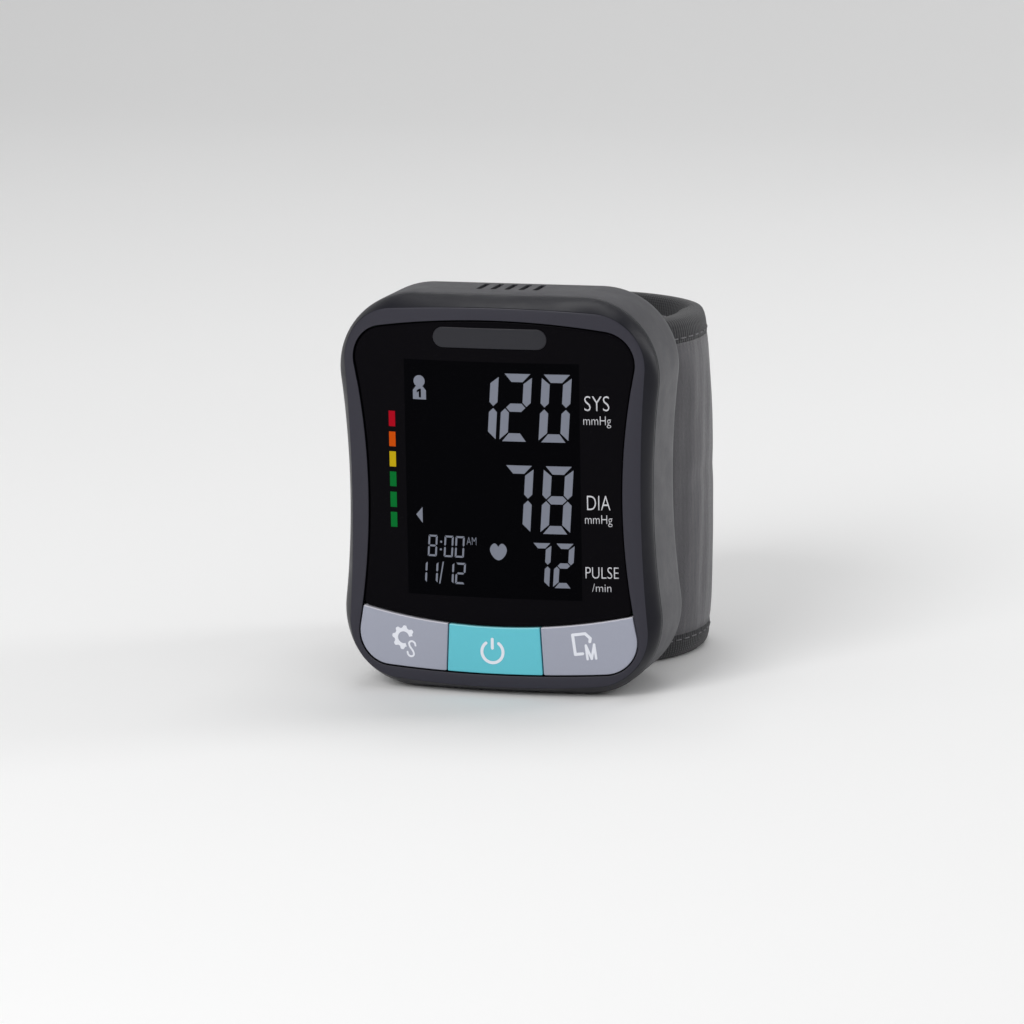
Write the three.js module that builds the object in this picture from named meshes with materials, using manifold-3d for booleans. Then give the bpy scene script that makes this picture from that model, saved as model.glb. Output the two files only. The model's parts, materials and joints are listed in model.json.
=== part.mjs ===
// Wrist blood pressure monitor: a waisted case with a gently domed face, a display window and three buttons,
// the pump, valve, sensor, speaker and cells inside it, and a wrist cuff whose flap opens at the back.
// Millimetres: x to the right of the display, y from the face to the back, z up from the table.

import * as THREE from "three";
import { mergeVertices } from "three/addons/utils/BufferGeometryUtils.js";
import Module from "manifold-3d";

const wasm = await Module();
wasm.setup();

// Driving dimensions

// Case, seen from the front
const CASE_WIDTH = 67.6;
const CASE_HEIGHT = 82;
const CASE_CORNER = 16;
const CASE_WAIST = 1.6;
const CASE_WALL = 2;

// Rim: the outer edge of the flat band round the face
const RIM_SIDE_INSET = 2.1;
const RIM_END_INSET = 1.8;
const RIM_CORNER = 11;
const RIM_WAIST = 1.1;
const RIM_CROWN = 0.8;

// Panel: the opening that holds the lens and the buttons
const BAND_SIDE = 1.95;
const BAND_END = 2.6;
const PANEL_CORNER = 6.9;
const PANEL_WAIST = 2.8;
const PANEL_CROWN = 1.8;
const PANEL_FOOT_CROWN = 0.6;

// Case, seen from the side
const FACE_RADIUS = 172;
const PLATE_THICKNESS = 1.8;
const PARTING_DEPTH = 6.8;
const REAR_SHOULDER_DROP = 3.9;
const REAR_EDGE_RISE = 8.1;
const REAR_EDGE_INSET = 6;
const SADDLE_RADIUS = 46;

// Lens and the plate on it
const LENS_RECESS = 0.4;
const LENS_THICKNESS = 1.8;
const LEDGE_THICKNESS = 1.2;
const LEDGE_WALL = 1.6;
const BADGE_WIDTH = 24;
const BADGE_HEIGHT = 4.2;
const BADGE_THICKNESS = 0.6;
const BADGE_SINK = 0.4;
const BADGE_DROP = 3.65;

// Buttons and their switches
const STRIP_ARC = 140;
const STRIP_HEIGHT = 10.2;
const POWER_BUTTON_WIDTH = 19.5;
const DIVIDER_LEAN = 3;
const BUTTON_RECESS = 0.1;
const BUTTON_THICKNESS = 2.4;
const BUTTON_LIP = 0.6;
const BUTTON_LIP_THICKNESS = 0.8;
const BUTTON_POST_RADIUS = 1.6;
const BUTTON_TRAVEL = 0.5;
const SWITCH_SPACING = 16;
const SWITCH_SIZE = 6;
const SWITCH_HEIGHT = 3.6;
const PLUNGER_RADIUS = 1.7;
const PLUNGER_PROUD = 0.9;
const PLUNGER_DEPTH = 0.8;

// Display and circuit board
const LCD_WIDTH = 40;
const LCD_THICKNESS = 2.2;
const LCD_RISE = 4.6;
const LCD_DROP = 7.4;
const TRAY_WALL = 0.9;
const TRAY_FLOOR = 2.4;
const CONTACT_STRIP_LENGTH = 36;
const CONTACT_STRIP_HEIGHT = 2.4;
const CONTACT_LEDGE = 4;
const BOARD_THICKNESS = 1.6;
const BOARD_MARGIN = 1;

// Case screws and hooks
const BOSS_RADIUS = 2.8;
const BOSS_X = 17;
const BOSS_DROP = 7;
const BOSS_FLOOR = 2;
const SCREW_RADIUS = 1;
const SCREW_HEAD_RADIUS = 1.9;
const SCREW_HEAD_THICKNESS = 1.5;
const HOOK_SPACING = 20;
const HOOK_WIDTH = 6;
const HOOK_THICKNESS = 1.5;
const HOOK_REACH = 2.4;
const HOOK_ROOT = 3.4;

// Cells and their bay
const CELL_DIAMETER = 10.5;
const CELL_LENGTH = 44.5;
const CELL_NUB_RADIUS = 1.9;
const CELL_NUB_HEIGHT = 1;
const BAY_WALL = 1;
const CONTACT_THICKNESS = 0.5;
const CONTACT_WIDTH = 8;
const SPRING_LENGTH = 4.6;
const SPRING_RADIUS = 2.6;
const SPRING_WIRE_RADIUS = 0.35;
const SPRING_CURLS = 3.5;
const DOOR_HEIGHT = 46;
const DOOR_GAP = 0.25;
const DOOR_HINGE_ROOM = 0.6;
const DOOR_PIN_RADIUS = 0.5;
const DOOR_PIN_REACH = 0.9;

// Air pump, manifold, valve and sensor
const SCREW_LANE = 7;
const PUMP_DIAMETER = 11.5;
const PUMP_FOOT_GAP = 1.2;
const PUMP_MOTOR_LENGTH = 14;
const PUMP_HOUSING_LENGTH = 8;
const PUMP_CAP_LENGTH = 3;
const PUMP_WALL = 1.3;
const CRANK_SHAFT_RADIUS = 0.8;
const CRANK_DISC_RADIUS = 2.4;
const CRANK_THROW = 1;
const CRANK_DISC_THICKNESS = 3;
const CRANK_DISC_LIFT = 1;
const CRANK_BORE_DEPTH = 3;
const MANIFOLD_SIZE = 7;
const NIPPLE_RADIUS = 1;
const NIPPLE_LENGTH = 2.6;
const NIPPLE_SPACE = 0.6;
const HOSE_WALL = 0.7;
const VALVE_LENGTH = 9;
const VALVE_WIDTH = 10;
const VALVE_BACK = 4.5;
const VALVE_PLUNGER_RADIUS = 1.3;
const VALVE_PLUNGER_PROUD = 2;
const VALVE_PLUNGER_SUNK = 4;
const VALVE_TRAVEL = 0.8;
const SENSOR_SIZE = 6;

// Speaker
const SPEAKER_WIDTH = 20;
const SPEAKER_DEPTH = 10;
const SPEAKER_THICKNESS = 4;
const SPEAKER_SLOTS = 5;
const SPEAKER_SLOT_WIDTH = 1.2;
const SPEAKER_SLOT_PITCH = 3;
const SPEAKER_SLOT_LENGTH = 7;

// Cuff: an oval loop behind the case
const CUFF_HALF_WIDTH = 24;
const CUFF_HALF_DEPTH = 21;
const CUFF_HEIGHT = 72;
const CUFF_COVER = 1.2;
const CUFF_STIFFENER = 1.4;
const CUFF_BLADDER = 2.2;
const CUFF_CORE_MARGIN = 4;
const CUFF_SEAT_GAP = 0.4;
const CUFF_STUB_ANGLE = 140;
const CUFF_HINGE_ANGLE = 15;
const CUFF_HINGE_GAP_ANGLE = 2;
const FLAP_BODY_ANGLE = 122;
const FLAP_STEP_ANGLE = 136;
const FLAP_TAIL_ANGLE = 190;
const HOOK_PATCH_THICKNESS = 0.9;
const HOOK_PATCH_MARGIN = 6;
const CUFF_SCREW_SPACING = 40;
const CUFF_SCREW_LENGTH = 5;
const CUFF_SCREW_HEAD_THICKNESS = 0.6;
const CUFF_SCREW_SINK = 0.8;
const CUFF_BOSS_RADIUS = 2.4;
const CUFF_BOSS_LENGTH = 4;

// Clearances
const FIT = 0.3;
const SEAM = 0.25;
const REVEAL = 0.2;
const STEP = 0.4;

// Facets
const SIDE_STEPS = 4;
const CORNER_STEPS = 7;
const END_STEPS = 3;
const FACE_STEPS = 14;
const SADDLE_STEPS = 16;
const ROUND_STEPS = 16;
const BAND_STEP_ANGLE = 7;
const BEYOND = 20;

const degrees = THREE.MathUtils.degToRad;

// Plain solids

// A closed geometry as a solid that can be joined and cut.
function solid(geometry) {
  const bare = geometry.clone();
  bare.deleteAttribute("normal");
  bare.deleteAttribute("uv");
  const merged = mergeVertices(bare, 1e-4);
  const corners = [];
  for (let i = 0; i < merged.index.count; i += 3) {
    const [a, b, c] = [0, 1, 2].map((k) => merged.index.getX(i + k));
    if (a !== b && b !== c && c !== a) corners.push(a, b, c);
  }
  const vertProperties = new Float32Array(merged.attributes.position.array);
  const triVerts = new Uint32Array(corners);
  return new wasm.Manifold(new wasm.Mesh({ numProp: 3, vertProperties, triVerts }));
}

// A block between two corners.
function block([x0, y0, z0], [x1, y1, z1]) {
  const geometry = new THREE.BoxGeometry(x1 - x0, y1 - y0, z1 - z0);
  return solid(geometry.translate((x0 + x1) / 2, (y0 + y1) / 2, (z0 + z1) / 2));
}

// A lathe profile, given as [radius, height] pairs that run up the outside, turned about an axis.
function turned(axis, profile, at) {
  const points = profile.map(([radius, height]) => new THREE.Vector2(radius, height));
  const geometry = new THREE.LatheGeometry(points, ROUND_STEPS);
  if (axis === "z") geometry.rotateX(Math.PI / 2);
  if (axis === "x") geometry.rotateZ(-Math.PI / 2);
  return solid(geometry.translate(...at));
}

function rod(axis, radius, from, to, at) {
  return turned(axis, [[0, from], [radius, from], [radius, to], [0, to]], at);
}

function tube(axis, outer, inner, from, to, at) {
  return turned(axis, [[inner, from], [outer, from], [outer, to], [inner, to], [inner, from]], at);
}

// An outline in x and z, pushed from one depth to another.
function pushed(outline, from, to, lift = 0) {
  const shape = new THREE.Shape(outline);
  const geometry = new THREE.ExtrudeGeometry(shape, { depth: to - from, bevelEnabled: false });
  return solid(geometry.rotateX(Math.PI / 2).translate(0, to, lift));
}

// An outline in x and y, raised from one height to another.
function raised(outline, from, to) {
  const shape = new THREE.Shape(outline);
  const geometry = new THREE.ExtrudeGeometry(shape, { depth: to - from, bevelEnabled: false });
  return solid(geometry.translate(0, 0, from));
}

// Rings of points, each with its own depth, skinned from the front ring to the back one.
function skinned(rings) {
  const count = rings[0].outline.length;
  const positions = [];
  for (const { outline, depth } of rings) {
    for (const point of outline) positions.push(point.x, depth(point.x), point.y + CENTRE_Z);
  }
  const index = [];
  for (let ring = 0; ring + 1 < rings.length; ring += 1) {
    for (let i = 0; i < count; i += 1) {
      const next = (i + 1) % count;
      const [front, frontNext] = [ring * count + i, ring * count + next];
      index.push(front, front + count, frontNext, frontNext, front + count, frontNext + count);
    }
  }
  const last = (rings.length - 1) * count;
  for (const [a, b, c] of THREE.ShapeUtils.triangulateShape(rings[0].outline, [])) index.push(a, b, c);
  for (const [a, b, c] of THREE.ShapeUtils.triangulateShape(rings.at(-1).outline, [])) {
    index.push(last + a, last + c, last + b);
  }
  const geometry = new THREE.BufferGeometry();
  geometry.setAttribute("position", new THREE.Float32BufferAttribute(positions, 3));
  return solid(geometry.setIndex(index));
}

function joined(...solids) {
  return solids.reduce((whole, piece) => whole.add(piece));
}

function cut(whole, ...tools) {
  return tools.reduce((rest, tool) => rest.subtract(tool), whole);
}

// Outlines

function arc(centreX, centreY, radius, from, to, steps) {
  return Array.from({ length: steps + 1 }, (_, i) => {
    const angle = from + ((to - from) * i) / steps;
    return new THREE.Vector2(centreX + radius * Math.cos(angle), centreY + radius * Math.sin(angle));
  });
}

// A quarter of a rounded rectangle with hollow sides and crowned ends, its arcs tangent to each other.
function outlineQuarter({ width, height, corner, waist, crown }) {
  const cornerX = width / 2 - corner;
  const cornerY = height / 2 - crown - corner;
  const sideRadius = ((corner - waist) ** 2 + cornerY ** 2 - corner ** 2) / (2 * waist);
  const sideX = width / 2 - waist + sideRadius;
  const lean = Math.atan2(cornerY, sideX - cornerX);
  const side = arc(sideX, 0, sideRadius, Math.PI, Math.PI - lean, SIDE_STEPS);
  let end;
  let turn = Math.PI / 2;
  if (crown > 0) {
    const endDrop = (cornerX ** 2 + cornerY ** 2 - (height / 2 - corner) ** 2) / (2 * crown);
    turn = Math.atan2(cornerY + endDrop, cornerX);
    end = arc(0, -endDrop, height / 2 + endDrop, turn, Math.PI / 2, END_STEPS);
  } else {
    end = Array.from({ length: END_STEPS + 1 }, (_, i) => (
      new THREE.Vector2(cornerX * (1 - i / END_STEPS), height / 2)
    ));
  }
  return [...side, ...arc(cornerX, cornerY, corner, -lean, turn, CORNER_STEPS).slice(1), ...end.slice(1)];
}

// The whole outline about its centre. Its lower end may have a crown of its own.
function waistedOutline(size) {
  const upper = outlineQuarter(size);
  const lower = outlineQuarter({ ...size, crown: size.footCrown ?? size.crown });
  const mirrored = (quarter, signX, signY) => (
    quarter.map((p) => new THREE.Vector2(p.x * signX, p.y * signY))
  );
  return [
    ...upper,
    ...mirrored(upper, -1, 1).reverse().slice(1),
    ...mirrored(lower, -1, -1).slice(1),
    ...mirrored(lower, 1, -1).reverse().slice(1, -1),
  ];
}

// Half the width of such an outline at a height from its centre, along its sides and corners.
function halfWidthAt({ width, height, corner, waist, crown }, up) {
  const cornerX = width / 2 - corner;
  const cornerY = height / 2 - crown - corner;
  const sideRadius = ((corner - waist) ** 2 + cornerY ** 2 - corner ** 2) / (2 * waist);
  const sideX = width / 2 - waist + sideRadius;
  const sideEnd = sideRadius * Math.sin(Math.atan2(cornerY, sideX - cornerX));
  if (Math.abs(up) <= sideEnd) return sideX - Math.sqrt(sideRadius ** 2 - up ** 2);
  return cornerX + Math.sqrt(corner ** 2 - (Math.abs(up) - cornerY) ** 2);
}

function insetSize(size, by) {
  return { ...size, width: size.width - 2 * by, height: size.height - 2 * by, corner: size.corner - by };
}

// Everything beyond a shallow arc that starts at its middle and bends away on both sides.
function beyondArc(radius, start, reach, far, steps) {
  const half = Math.asin(reach / radius);
  const edge = arc(0, start + radius, radius, -Math.PI / 2 - half, -Math.PI / 2 + half, steps);
  return [...edge, new THREE.Vector2(reach, far), new THREE.Vector2(-reach, far)];
}

// Sizes worked out from the driving ones

const CENTRE_Z = CASE_HEIGHT / 2;
const caseSize = {
  width: CASE_WIDTH,
  height: CASE_HEIGHT,
  corner: CASE_CORNER,
  waist: CASE_WAIST,
  crown: 0,
};
const rimSize = {
  width: CASE_WIDTH - 2 * RIM_SIDE_INSET,
  height: CASE_HEIGHT - 2 * RIM_END_INSET,
  corner: RIM_CORNER,
  waist: RIM_WAIST,
  crown: RIM_CROWN,
};
const panelSize = {
  width: rimSize.width - 2 * BAND_SIDE,
  height: rimSize.height - 2 * BAND_END,
  corner: PANEL_CORNER,
  waist: PANEL_WAIST,
  crown: PANEL_CROWN,
  footCrown: PANEL_FOOT_CROWN,
};
const reach = CASE_WIDTH / 2 + BEYOND / 4;
const stripLow = -panelSize.height / 2 + STRIP_HEIGHT;

const faceDepth = (x) => FACE_RADIUS - Math.sqrt(FACE_RADIUS ** 2 - x ** 2);
const pocketDepth = LENS_RECESS + LENS_THICKNESS + FIT;
const lcdFront = faceDepth(LCD_WIDTH / 2) + LENS_RECESS + LENS_THICKNESS + FIT;
const lcdBack = lcdFront + LCD_THICKNESS;
const trayBack = lcdBack + FIT + TRAY_FLOOR;
const boardFront = trayBack + FIT;
const boardBack = boardFront + BOARD_THICKNESS;
const bayFront = boardBack + FIT + BAY_WALL;
const bayDepth = CELL_DIAMETER + 2 * FIT;
const saddleDepth = Math.max(bayFront + bayDepth, boardBack + PUMP_DIAMETER + 2 * FIT) + CASE_WALL;

const sideDepth = saddleDepth - REAR_SHOULDER_DROP;
const rearEdgeDepth = saddleDepth + REAR_EDGE_RISE;

const lcdBottom = stripLow + LCD_RISE;
const lcdTop = panelSize.height / 2 - LCD_DROP;
const trayHalfWidth = LCD_WIDTH / 2 + FIT + TRAY_WALL;
const trayTop = lcdTop + FIT + TRAY_WALL;
const trayBottom = lcdBottom + CONTACT_LEDGE;

const innerWaist = CASE_WIDTH / 2 - CASE_WAIST - CASE_WALL;
const outerCellX = -(innerWaist - FIT - CELL_DIAMETER / 2);
const innerCellX = outerCellX + CELL_DIAMETER + FIT;
const cellY = bayFront + FIT + CELL_DIAMETER / 2;
const bayRight = innerCellX + CELL_DIAMETER / 2 + FIT;
const bayHalf = (CELL_LENGTH + SPRING_LENGTH + 2 * CONTACT_THICKNESS + 5 * FIT) / 2;
const bayBottom = CENTRE_Z - bayHalf;
const bayTop = CENTRE_Z + bayHalf;
const laneX = bayRight + BAY_WALL + SCREW_LANE / 2;

const pumpX = bayRight + BAY_WALL + SCREW_LANE + PUMP_DIAMETER / 2;
const pumpY = boardBack + FIT + PUMP_DIAMETER / 2;
const motorBottom = CASE_WALL + PUMP_FOOT_GAP;
const motorTop = motorBottom + PUMP_MOTOR_LENGTH;
const housingBottom = motorTop + FIT;
const housingTop = housingBottom + PUMP_HOUSING_LENGTH;
const capBottom = housingTop + FIT;
const capTop = capBottom + PUMP_CAP_LENGTH;
const hoseSpan = 2 * NIPPLE_LENGTH + NIPPLE_SPACE;
const hoseInner = NIPPLE_RADIUS + FIT;
const hoseOuter = hoseInner + HOSE_WALL;
const manifoldBottom = capTop + hoseSpan;
const manifoldTop = manifoldBottom + MANIFOLD_SIZE;
const manifoldZ = (manifoldBottom + manifoldTop) / 2;
const manifoldRight = pumpX + MANIFOLD_SIZE / 2;
const manifoldBack = pumpY + MANIFOLD_SIZE / 2;
const valveBottom = manifoldTop + hoseSpan;
const valveTop = valveBottom + VALVE_LENGTH;
const sensorLeft = manifoldRight + hoseSpan;

const speakerTop = CASE_HEIGHT - CASE_WALL - FIT;
const speakerY = (boardBack + saddleDepth - CASE_WALL) / 2;

const cuffThickness = 2 * CUFF_COVER + CUFF_BLADDER + CUFF_STIFFENER + 3 * FIT;
const loopY = saddleDepth + CUFF_SEAT_GAP + cuffThickness + CUFF_HALF_DEPTH;
const stiffenerInner = cuffThickness - CUFF_COVER - FIT - CUFF_STIFFENER;
const totalDepth = loopY + CUFF_HALF_DEPTH + cuffThickness;

// Case blanks

function faceRegion(behind) {
  return raised(beyondArc(FACE_RADIUS, behind, reach, rearEdgeDepth + BEYOND, FACE_STEPS),
    -BEYOND, CASE_HEIGHT + BEYOND);
}

function faceSlab(from, to) {
  return faceRegion(from).subtract(faceRegion(to));
}

function beyondSaddle(start) {
  return raised(beyondArc(SADDLE_RADIUS, start, reach, rearEdgeDepth + 2 * BEYOND, SADDLE_STEPS),
    -BEYOND, CASE_HEIGHT + BEYOND);
}

function panelPrism(inset) {
  return pushed(waistedOutline(insetSize(panelSize, inset)), -BEYOND, rearEdgeDepth, CENTRE_Z);
}

function aboveStrip(lift) {
  return pushed(beyondArc(STRIP_ARC, stripLow + lift, reach, CASE_HEIGHT, FACE_STEPS),
    -2 * BEYOND, rearEdgeDepth + BEYOND, CENTRE_Z);
}

// The bevel from the rim to the widest outline: shares of the way out and of the way back.
const BEVEL = [[-0.3, -0.22], [0.45, 0.28], [0.8, 0.62], [1, 1]];

function frontBlank(inset, tail) {
  const rim = waistedOutline(insetSize(rimSize, inset));
  const wide = waistedOutline(insetSize(caseSize, inset));
  const between = (share) => rim.map((point, i) => point.clone().lerp(wide[i], share));
  const rings = BEVEL.map(([out, back]) => ({
    outline: between(out),
    depth: (x) => faceDepth(x) + back * (PARTING_DEPTH - faceDepth(x)),
  }));
  const nose = { outline: between(BEVEL[0][0]), depth: () => -BEYOND / 4 };
  const end = { outline: wide, depth: () => PARTING_DEPTH + tail };
  return skinned(tail > 0 ? [nose, ...rings, end] : [nose, ...rings]);
}

function rearBlank(inset, front, back) {
  const rings = [[0, front], [0, sideDepth], [0.28, (sideDepth + rearEdgeDepth) / 2], [1, back]];
  return skinned(rings.map(([share, depth]) => ({
    outline: waistedOutline(insetSize(caseSize, inset + share * REAR_EDGE_INSET)),
    depth: () => depth,
  })));
}

const rearFront = PARTING_DEPTH + SEAM;
const rearOuter = rearBlank(0, rearFront, rearEdgeDepth).subtract(beyondSaddle(saddleDepth));
const rearInner = rearBlank(CASE_WALL, rearFront - STEP, rearEdgeDepth - CASE_WALL)
  .subtract(beyondSaddle(saddleDepth - CASE_WALL));

const bosses = [-BOSS_X, BOSS_X].map((x) => ({ x, z: CASE_HEIGHT - BOSS_DROP }));
const bossFront = faceDepth(BOSS_X + BOSS_RADIUS) + pocketDepth;
const screwTip = bossFront + STEP;
const screwSeat = boardBack + FIT + BOSS_FLOOR;
const cuffScrews = [-1, 1].map((side) => ({ x: laneX, z: (CUFF_HEIGHT + side * CUFF_SCREW_SPACING) / 2 }));
const laneSaddle = saddleDepth + SADDLE_RADIUS - Math.sqrt(SADDLE_RADIUS ** 2 - laneX ** 2);

const doorBottom = CENTRE_Z - DOOR_HEIGHT / 2;
const doorTop = CENTRE_Z + DOOR_HEIGHT / 2;
const doorPinZ = doorBottom + CASE_WALL / 2;
const doorPinX = -halfWidthAt(caseSize, doorPinZ - CENTRE_Z) + CASE_WALL / 2;

// Case pieces

function frontCover() {
  const shell = frontBlank(0, 0).intersect(faceRegion(0));
  const hollow = frontBlank(CASE_WALL, STEP).intersect(faceRegion(PLATE_THICKNESS));
  const ledge = panelPrism(-LEDGE_WALL).intersect(aboveStrip(0))
    .intersect(faceSlab(PLATE_THICKNESS / 2, pocketDepth + LEDGE_THICKNESS)).intersect(shell);
  const window = pushed([
    new THREE.Vector2(-trayHalfWidth - FIT, trayBottom - CONTACT_LEDGE - FIT),
    new THREE.Vector2(trayHalfWidth + FIT, trayBottom - CONTACT_LEDGE - FIT),
    new THREE.Vector2(trayHalfWidth + FIT, trayTop + FIT),
    new THREE.Vector2(-trayHalfWidth - FIT, trayTop + FIT),
  ], -BEYOND, PARTING_DEPTH + BEYOND, CENTRE_Z);
  const pocket = panelPrism(0).subtract(faceRegion(pocketDepth));
  const strip = panelPrism(0).subtract(aboveStrip(0));
  let cover = cut(joined(cut(shell, hollow), ledge), pocket, strip, window);
  for (const { x, z } of bosses) {
    const post = rod("y", BOSS_RADIUS, bossFront, boardFront - FIT, [x, 0, z]);
    cover = cover.add(post).subtract(rod("y", SCREW_RADIUS + FIT, screwTip, boardFront, [x, 0, z]));
  }
  for (const side of [-1, 1]) {
    const middle = (side * HOOK_SPACING) / 2;
    const low = CASE_WALL + FIT;
    cover = cover.add(block([middle - HOOK_WIDTH / 2, PARTING_DEPTH - HOOK_ROOT, low],
      [middle + HOOK_WIDTH / 2, PARTING_DEPTH + HOOK_REACH, low + HOOK_THICKNESS]));
  }
  return cover;
}

function rearCover() {
  const bayBox = block([-CASE_WIDTH, bayFront - BAY_WALL, bayBottom - BAY_WALL],
    [bayRight + BAY_WALL, rearEdgeDepth, bayTop + BAY_WALL]).intersect(rearOuter);
  const bayRoom = block([-CASE_WIDTH, bayFront, bayBottom], [bayRight, rearEdgeDepth, bayTop])
    .intersect(rearInner);
  let cover = cut(joined(cut(rearOuter, rearInner), bayBox), bayRoom);
  const doorway = block([-CASE_WIDTH, bayFront, doorBottom - DOOR_HINGE_ROOM],
    [outerCellX, bayFront + bayDepth, doorTop + DOOR_GAP]);
  const pinSockets = rod("y", DOOR_PIN_RADIUS + DOOR_GAP, bayFront - DOOR_PIN_REACH,
    bayFront + bayDepth + DOOR_PIN_REACH, [doorPinX, 0, doorPinZ]);
  cover = cut(cover, doorway, pinSockets);
  for (const { x, z } of bosses) {
    cover = cover.add(rod("y", BOSS_RADIUS, boardBack + FIT, rearEdgeDepth, [x, 0, z]).intersect(rearOuter));
    cover = cut(cover,
      rod("y", SCREW_RADIUS + FIT, boardBack, screwSeat + STEP, [x, 0, z]),
      rod("y", SCREW_HEAD_RADIUS + FIT, screwSeat, rearEdgeDepth + BEYOND, [x, 0, z]));
  }
  for (const { x, z } of cuffScrews) {
    const inside = laneSaddle - CASE_WALL;
    cover = cover.add(rod("y", CUFF_BOSS_RADIUS, inside - CUFF_BOSS_LENGTH, inside + STEP, [x, 0, z]));
    cover = cover.subtract(rod("y", SCREW_RADIUS + FIT, inside - CUFF_BOSS_LENGTH + STEP,
      laneSaddle + BEYOND, [x, 0, z]));
  }
  for (let slot = 0; slot < SPEAKER_SLOTS; slot += 1) {
    const x = (slot - (SPEAKER_SLOTS - 1) / 2) * SPEAKER_SLOT_PITCH;
    cover = cover.subtract(block(
      [x - SPEAKER_SLOT_WIDTH / 2, speakerY - SPEAKER_SLOT_LENGTH / 2, speakerTop],
      [x + SPEAKER_SLOT_WIDTH / 2, speakerY + SPEAKER_SLOT_LENGTH / 2, CASE_HEIGHT + BEYOND]));
  }
  const hoseWay = rod("y", hoseOuter + FIT, manifoldBack, saddleDepth + BEYOND, [pumpX, 0, manifoldZ]);
  return cover.subtract(hoseWay);
}

function batteryDoor() {
  const wall = cut(rearOuter, rearInner);
  const plate = wall.intersect(block([-CASE_WIDTH, bayFront + DOOR_GAP, doorBottom],
    [outerCellX, bayFront + bayDepth - DOOR_GAP, doorTop]));
  const reachIn = DOOR_PIN_REACH - DOOR_GAP;
  return plate.add(rod("y", DOOR_PIN_RADIUS, bayFront - reachIn, bayFront + bayDepth + reachIn,
    [doorPinX, 0, doorPinZ]));
}

function caseScrew({ x, z }) {
  const neck = screwSeat + FIT;
  return turned("y", [[0, screwTip + FIT], [SCREW_RADIUS, screwTip + FIT], [SCREW_RADIUS, neck],
    [SCREW_HEAD_RADIUS, neck], [SCREW_HEAD_RADIUS, neck + SCREW_HEAD_THICKNESS],
    [0, neck + SCREW_HEAD_THICKNESS]], [x, 0, z]);
}

// Lens, badge and buttons

function pillOutline(width, height, steps) {
  const radius = height / 2;
  const middle = width / 2 - radius;
  return [
    ...arc(middle, 0, radius, -Math.PI / 2, Math.PI / 2, steps),
    ...arc(-middle, 0, radius, Math.PI / 2, (3 * Math.PI) / 2, steps),
  ];
}

const badgeZ = CENTRE_Z + panelSize.height / 2 - BADGE_DROP;

function badgeBlank(grow, from, to) {
  const outline = pillOutline(BADGE_WIDTH + 2 * grow, BADGE_HEIGHT + 2 * grow, CORNER_STEPS);
  return pushed(outline, -BEYOND / 4, BEYOND / 4, badgeZ).intersect(faceSlab(from, to));
}

function displayLens() {
  const plate = panelPrism(REVEAL).intersect(aboveStrip(0))
    .intersect(faceSlab(LENS_RECESS, LENS_RECESS + LENS_THICKNESS));
  return plate.subtract(badgeBlank(REVEAL, -BEYOND / 8, LENS_RECESS + BADGE_SINK + FIT));
}

function badgePlate() {
  const front = LENS_RECESS + BADGE_SINK - BADGE_THICKNESS;
  return badgeBlank(0, front, front + BADGE_THICKNESS);
}

const switchFront = boardFront - FIT - SWITCH_HEIGHT;
const plungerFront = switchFront - PLUNGER_PROUD;
const switchZ = CENTRE_Z + stripLow - STRIP_HEIGHT / 2;

// The room of one button: the lines that part it from its neighbours lean towards each other at the top.
function buttonLane(place) {
  const [low, high] = [-CENTRE_Z, stripLow + STRIP_HEIGHT];
  const line = (side, height) => (
    side * (POWER_BUTTON_WIDTH / 2 + (stripLow - height) * Math.tan(degrees(DIVIDER_LEAN)))
  );
  const edges = [
    () => -CASE_WIDTH,
    (height) => line(-1, height),
    (height) => line(1, height),
    () => CASE_WIDTH,
  ];
  const [left, right] = [edges[place], edges[place + 1]];
  const gap = REVEAL / 2;
  return pushed([
    new THREE.Vector2(left(low) + gap, low),
    new THREE.Vector2(right(low) - gap, low),
    new THREE.Vector2(right(high) - gap, high),
    new THREE.Vector2(left(high) + gap, high),
  ], -BEYOND, rearEdgeDepth, CENTRE_Z);
}

function button(place) {
  const below = aboveStrip(-FIT);
  const lipFront = PLATE_THICKNESS + FIT;
  const cap = panelPrism(REVEAL).subtract(below)
    .intersect(faceSlab(BUTTON_RECESS, BUTTON_RECESS + BUTTON_THICKNESS));
  const lip = panelPrism(-BUTTON_LIP).subtract(below).intersect(frontBlank(CASE_WALL + FIT, STEP))
    .intersect(faceSlab(lipFront, lipFront + BUTTON_LIP_THICKNESS));
  const x = (place - 1) * SWITCH_SPACING;
  const postFront = faceDepth(x) + BUTTON_THICKNESS;
  const post = rod("y", BUTTON_POST_RADIUS, postFront, plungerFront - FIT, [x, 0, switchZ]);
  return cap.add(lip).intersect(buttonLane(place)).add(post);
}

function switchBody(place) {
  const x = (place - 1) * SWITCH_SPACING;
  const half = SWITCH_SIZE / 2;
  const body = block([x - half, switchFront, switchZ - half], [x + half, boardFront - FIT, switchZ + half]);
  const wellDepth = PLUNGER_DEPTH + BUTTON_TRAVEL + FIT;
  const well = rod("y", PLUNGER_RADIUS + FIT, switchFront - STEP, switchFront + wellDepth, [x, 0, switchZ]);
  return body.subtract(well);
}

function switchPlunger(place) {
  const x = (place - 1) * SWITCH_SPACING;
  return rod("y", PLUNGER_RADIUS, plungerFront, switchFront + PLUNGER_DEPTH, [x, 0, switchZ]);
}

// Display stack and board

function lcdGlass() {
  return block([-LCD_WIDTH / 2, lcdFront, CENTRE_Z + lcdBottom],
    [LCD_WIDTH / 2, lcdBack, CENTRE_Z + lcdTop]);
}

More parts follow.
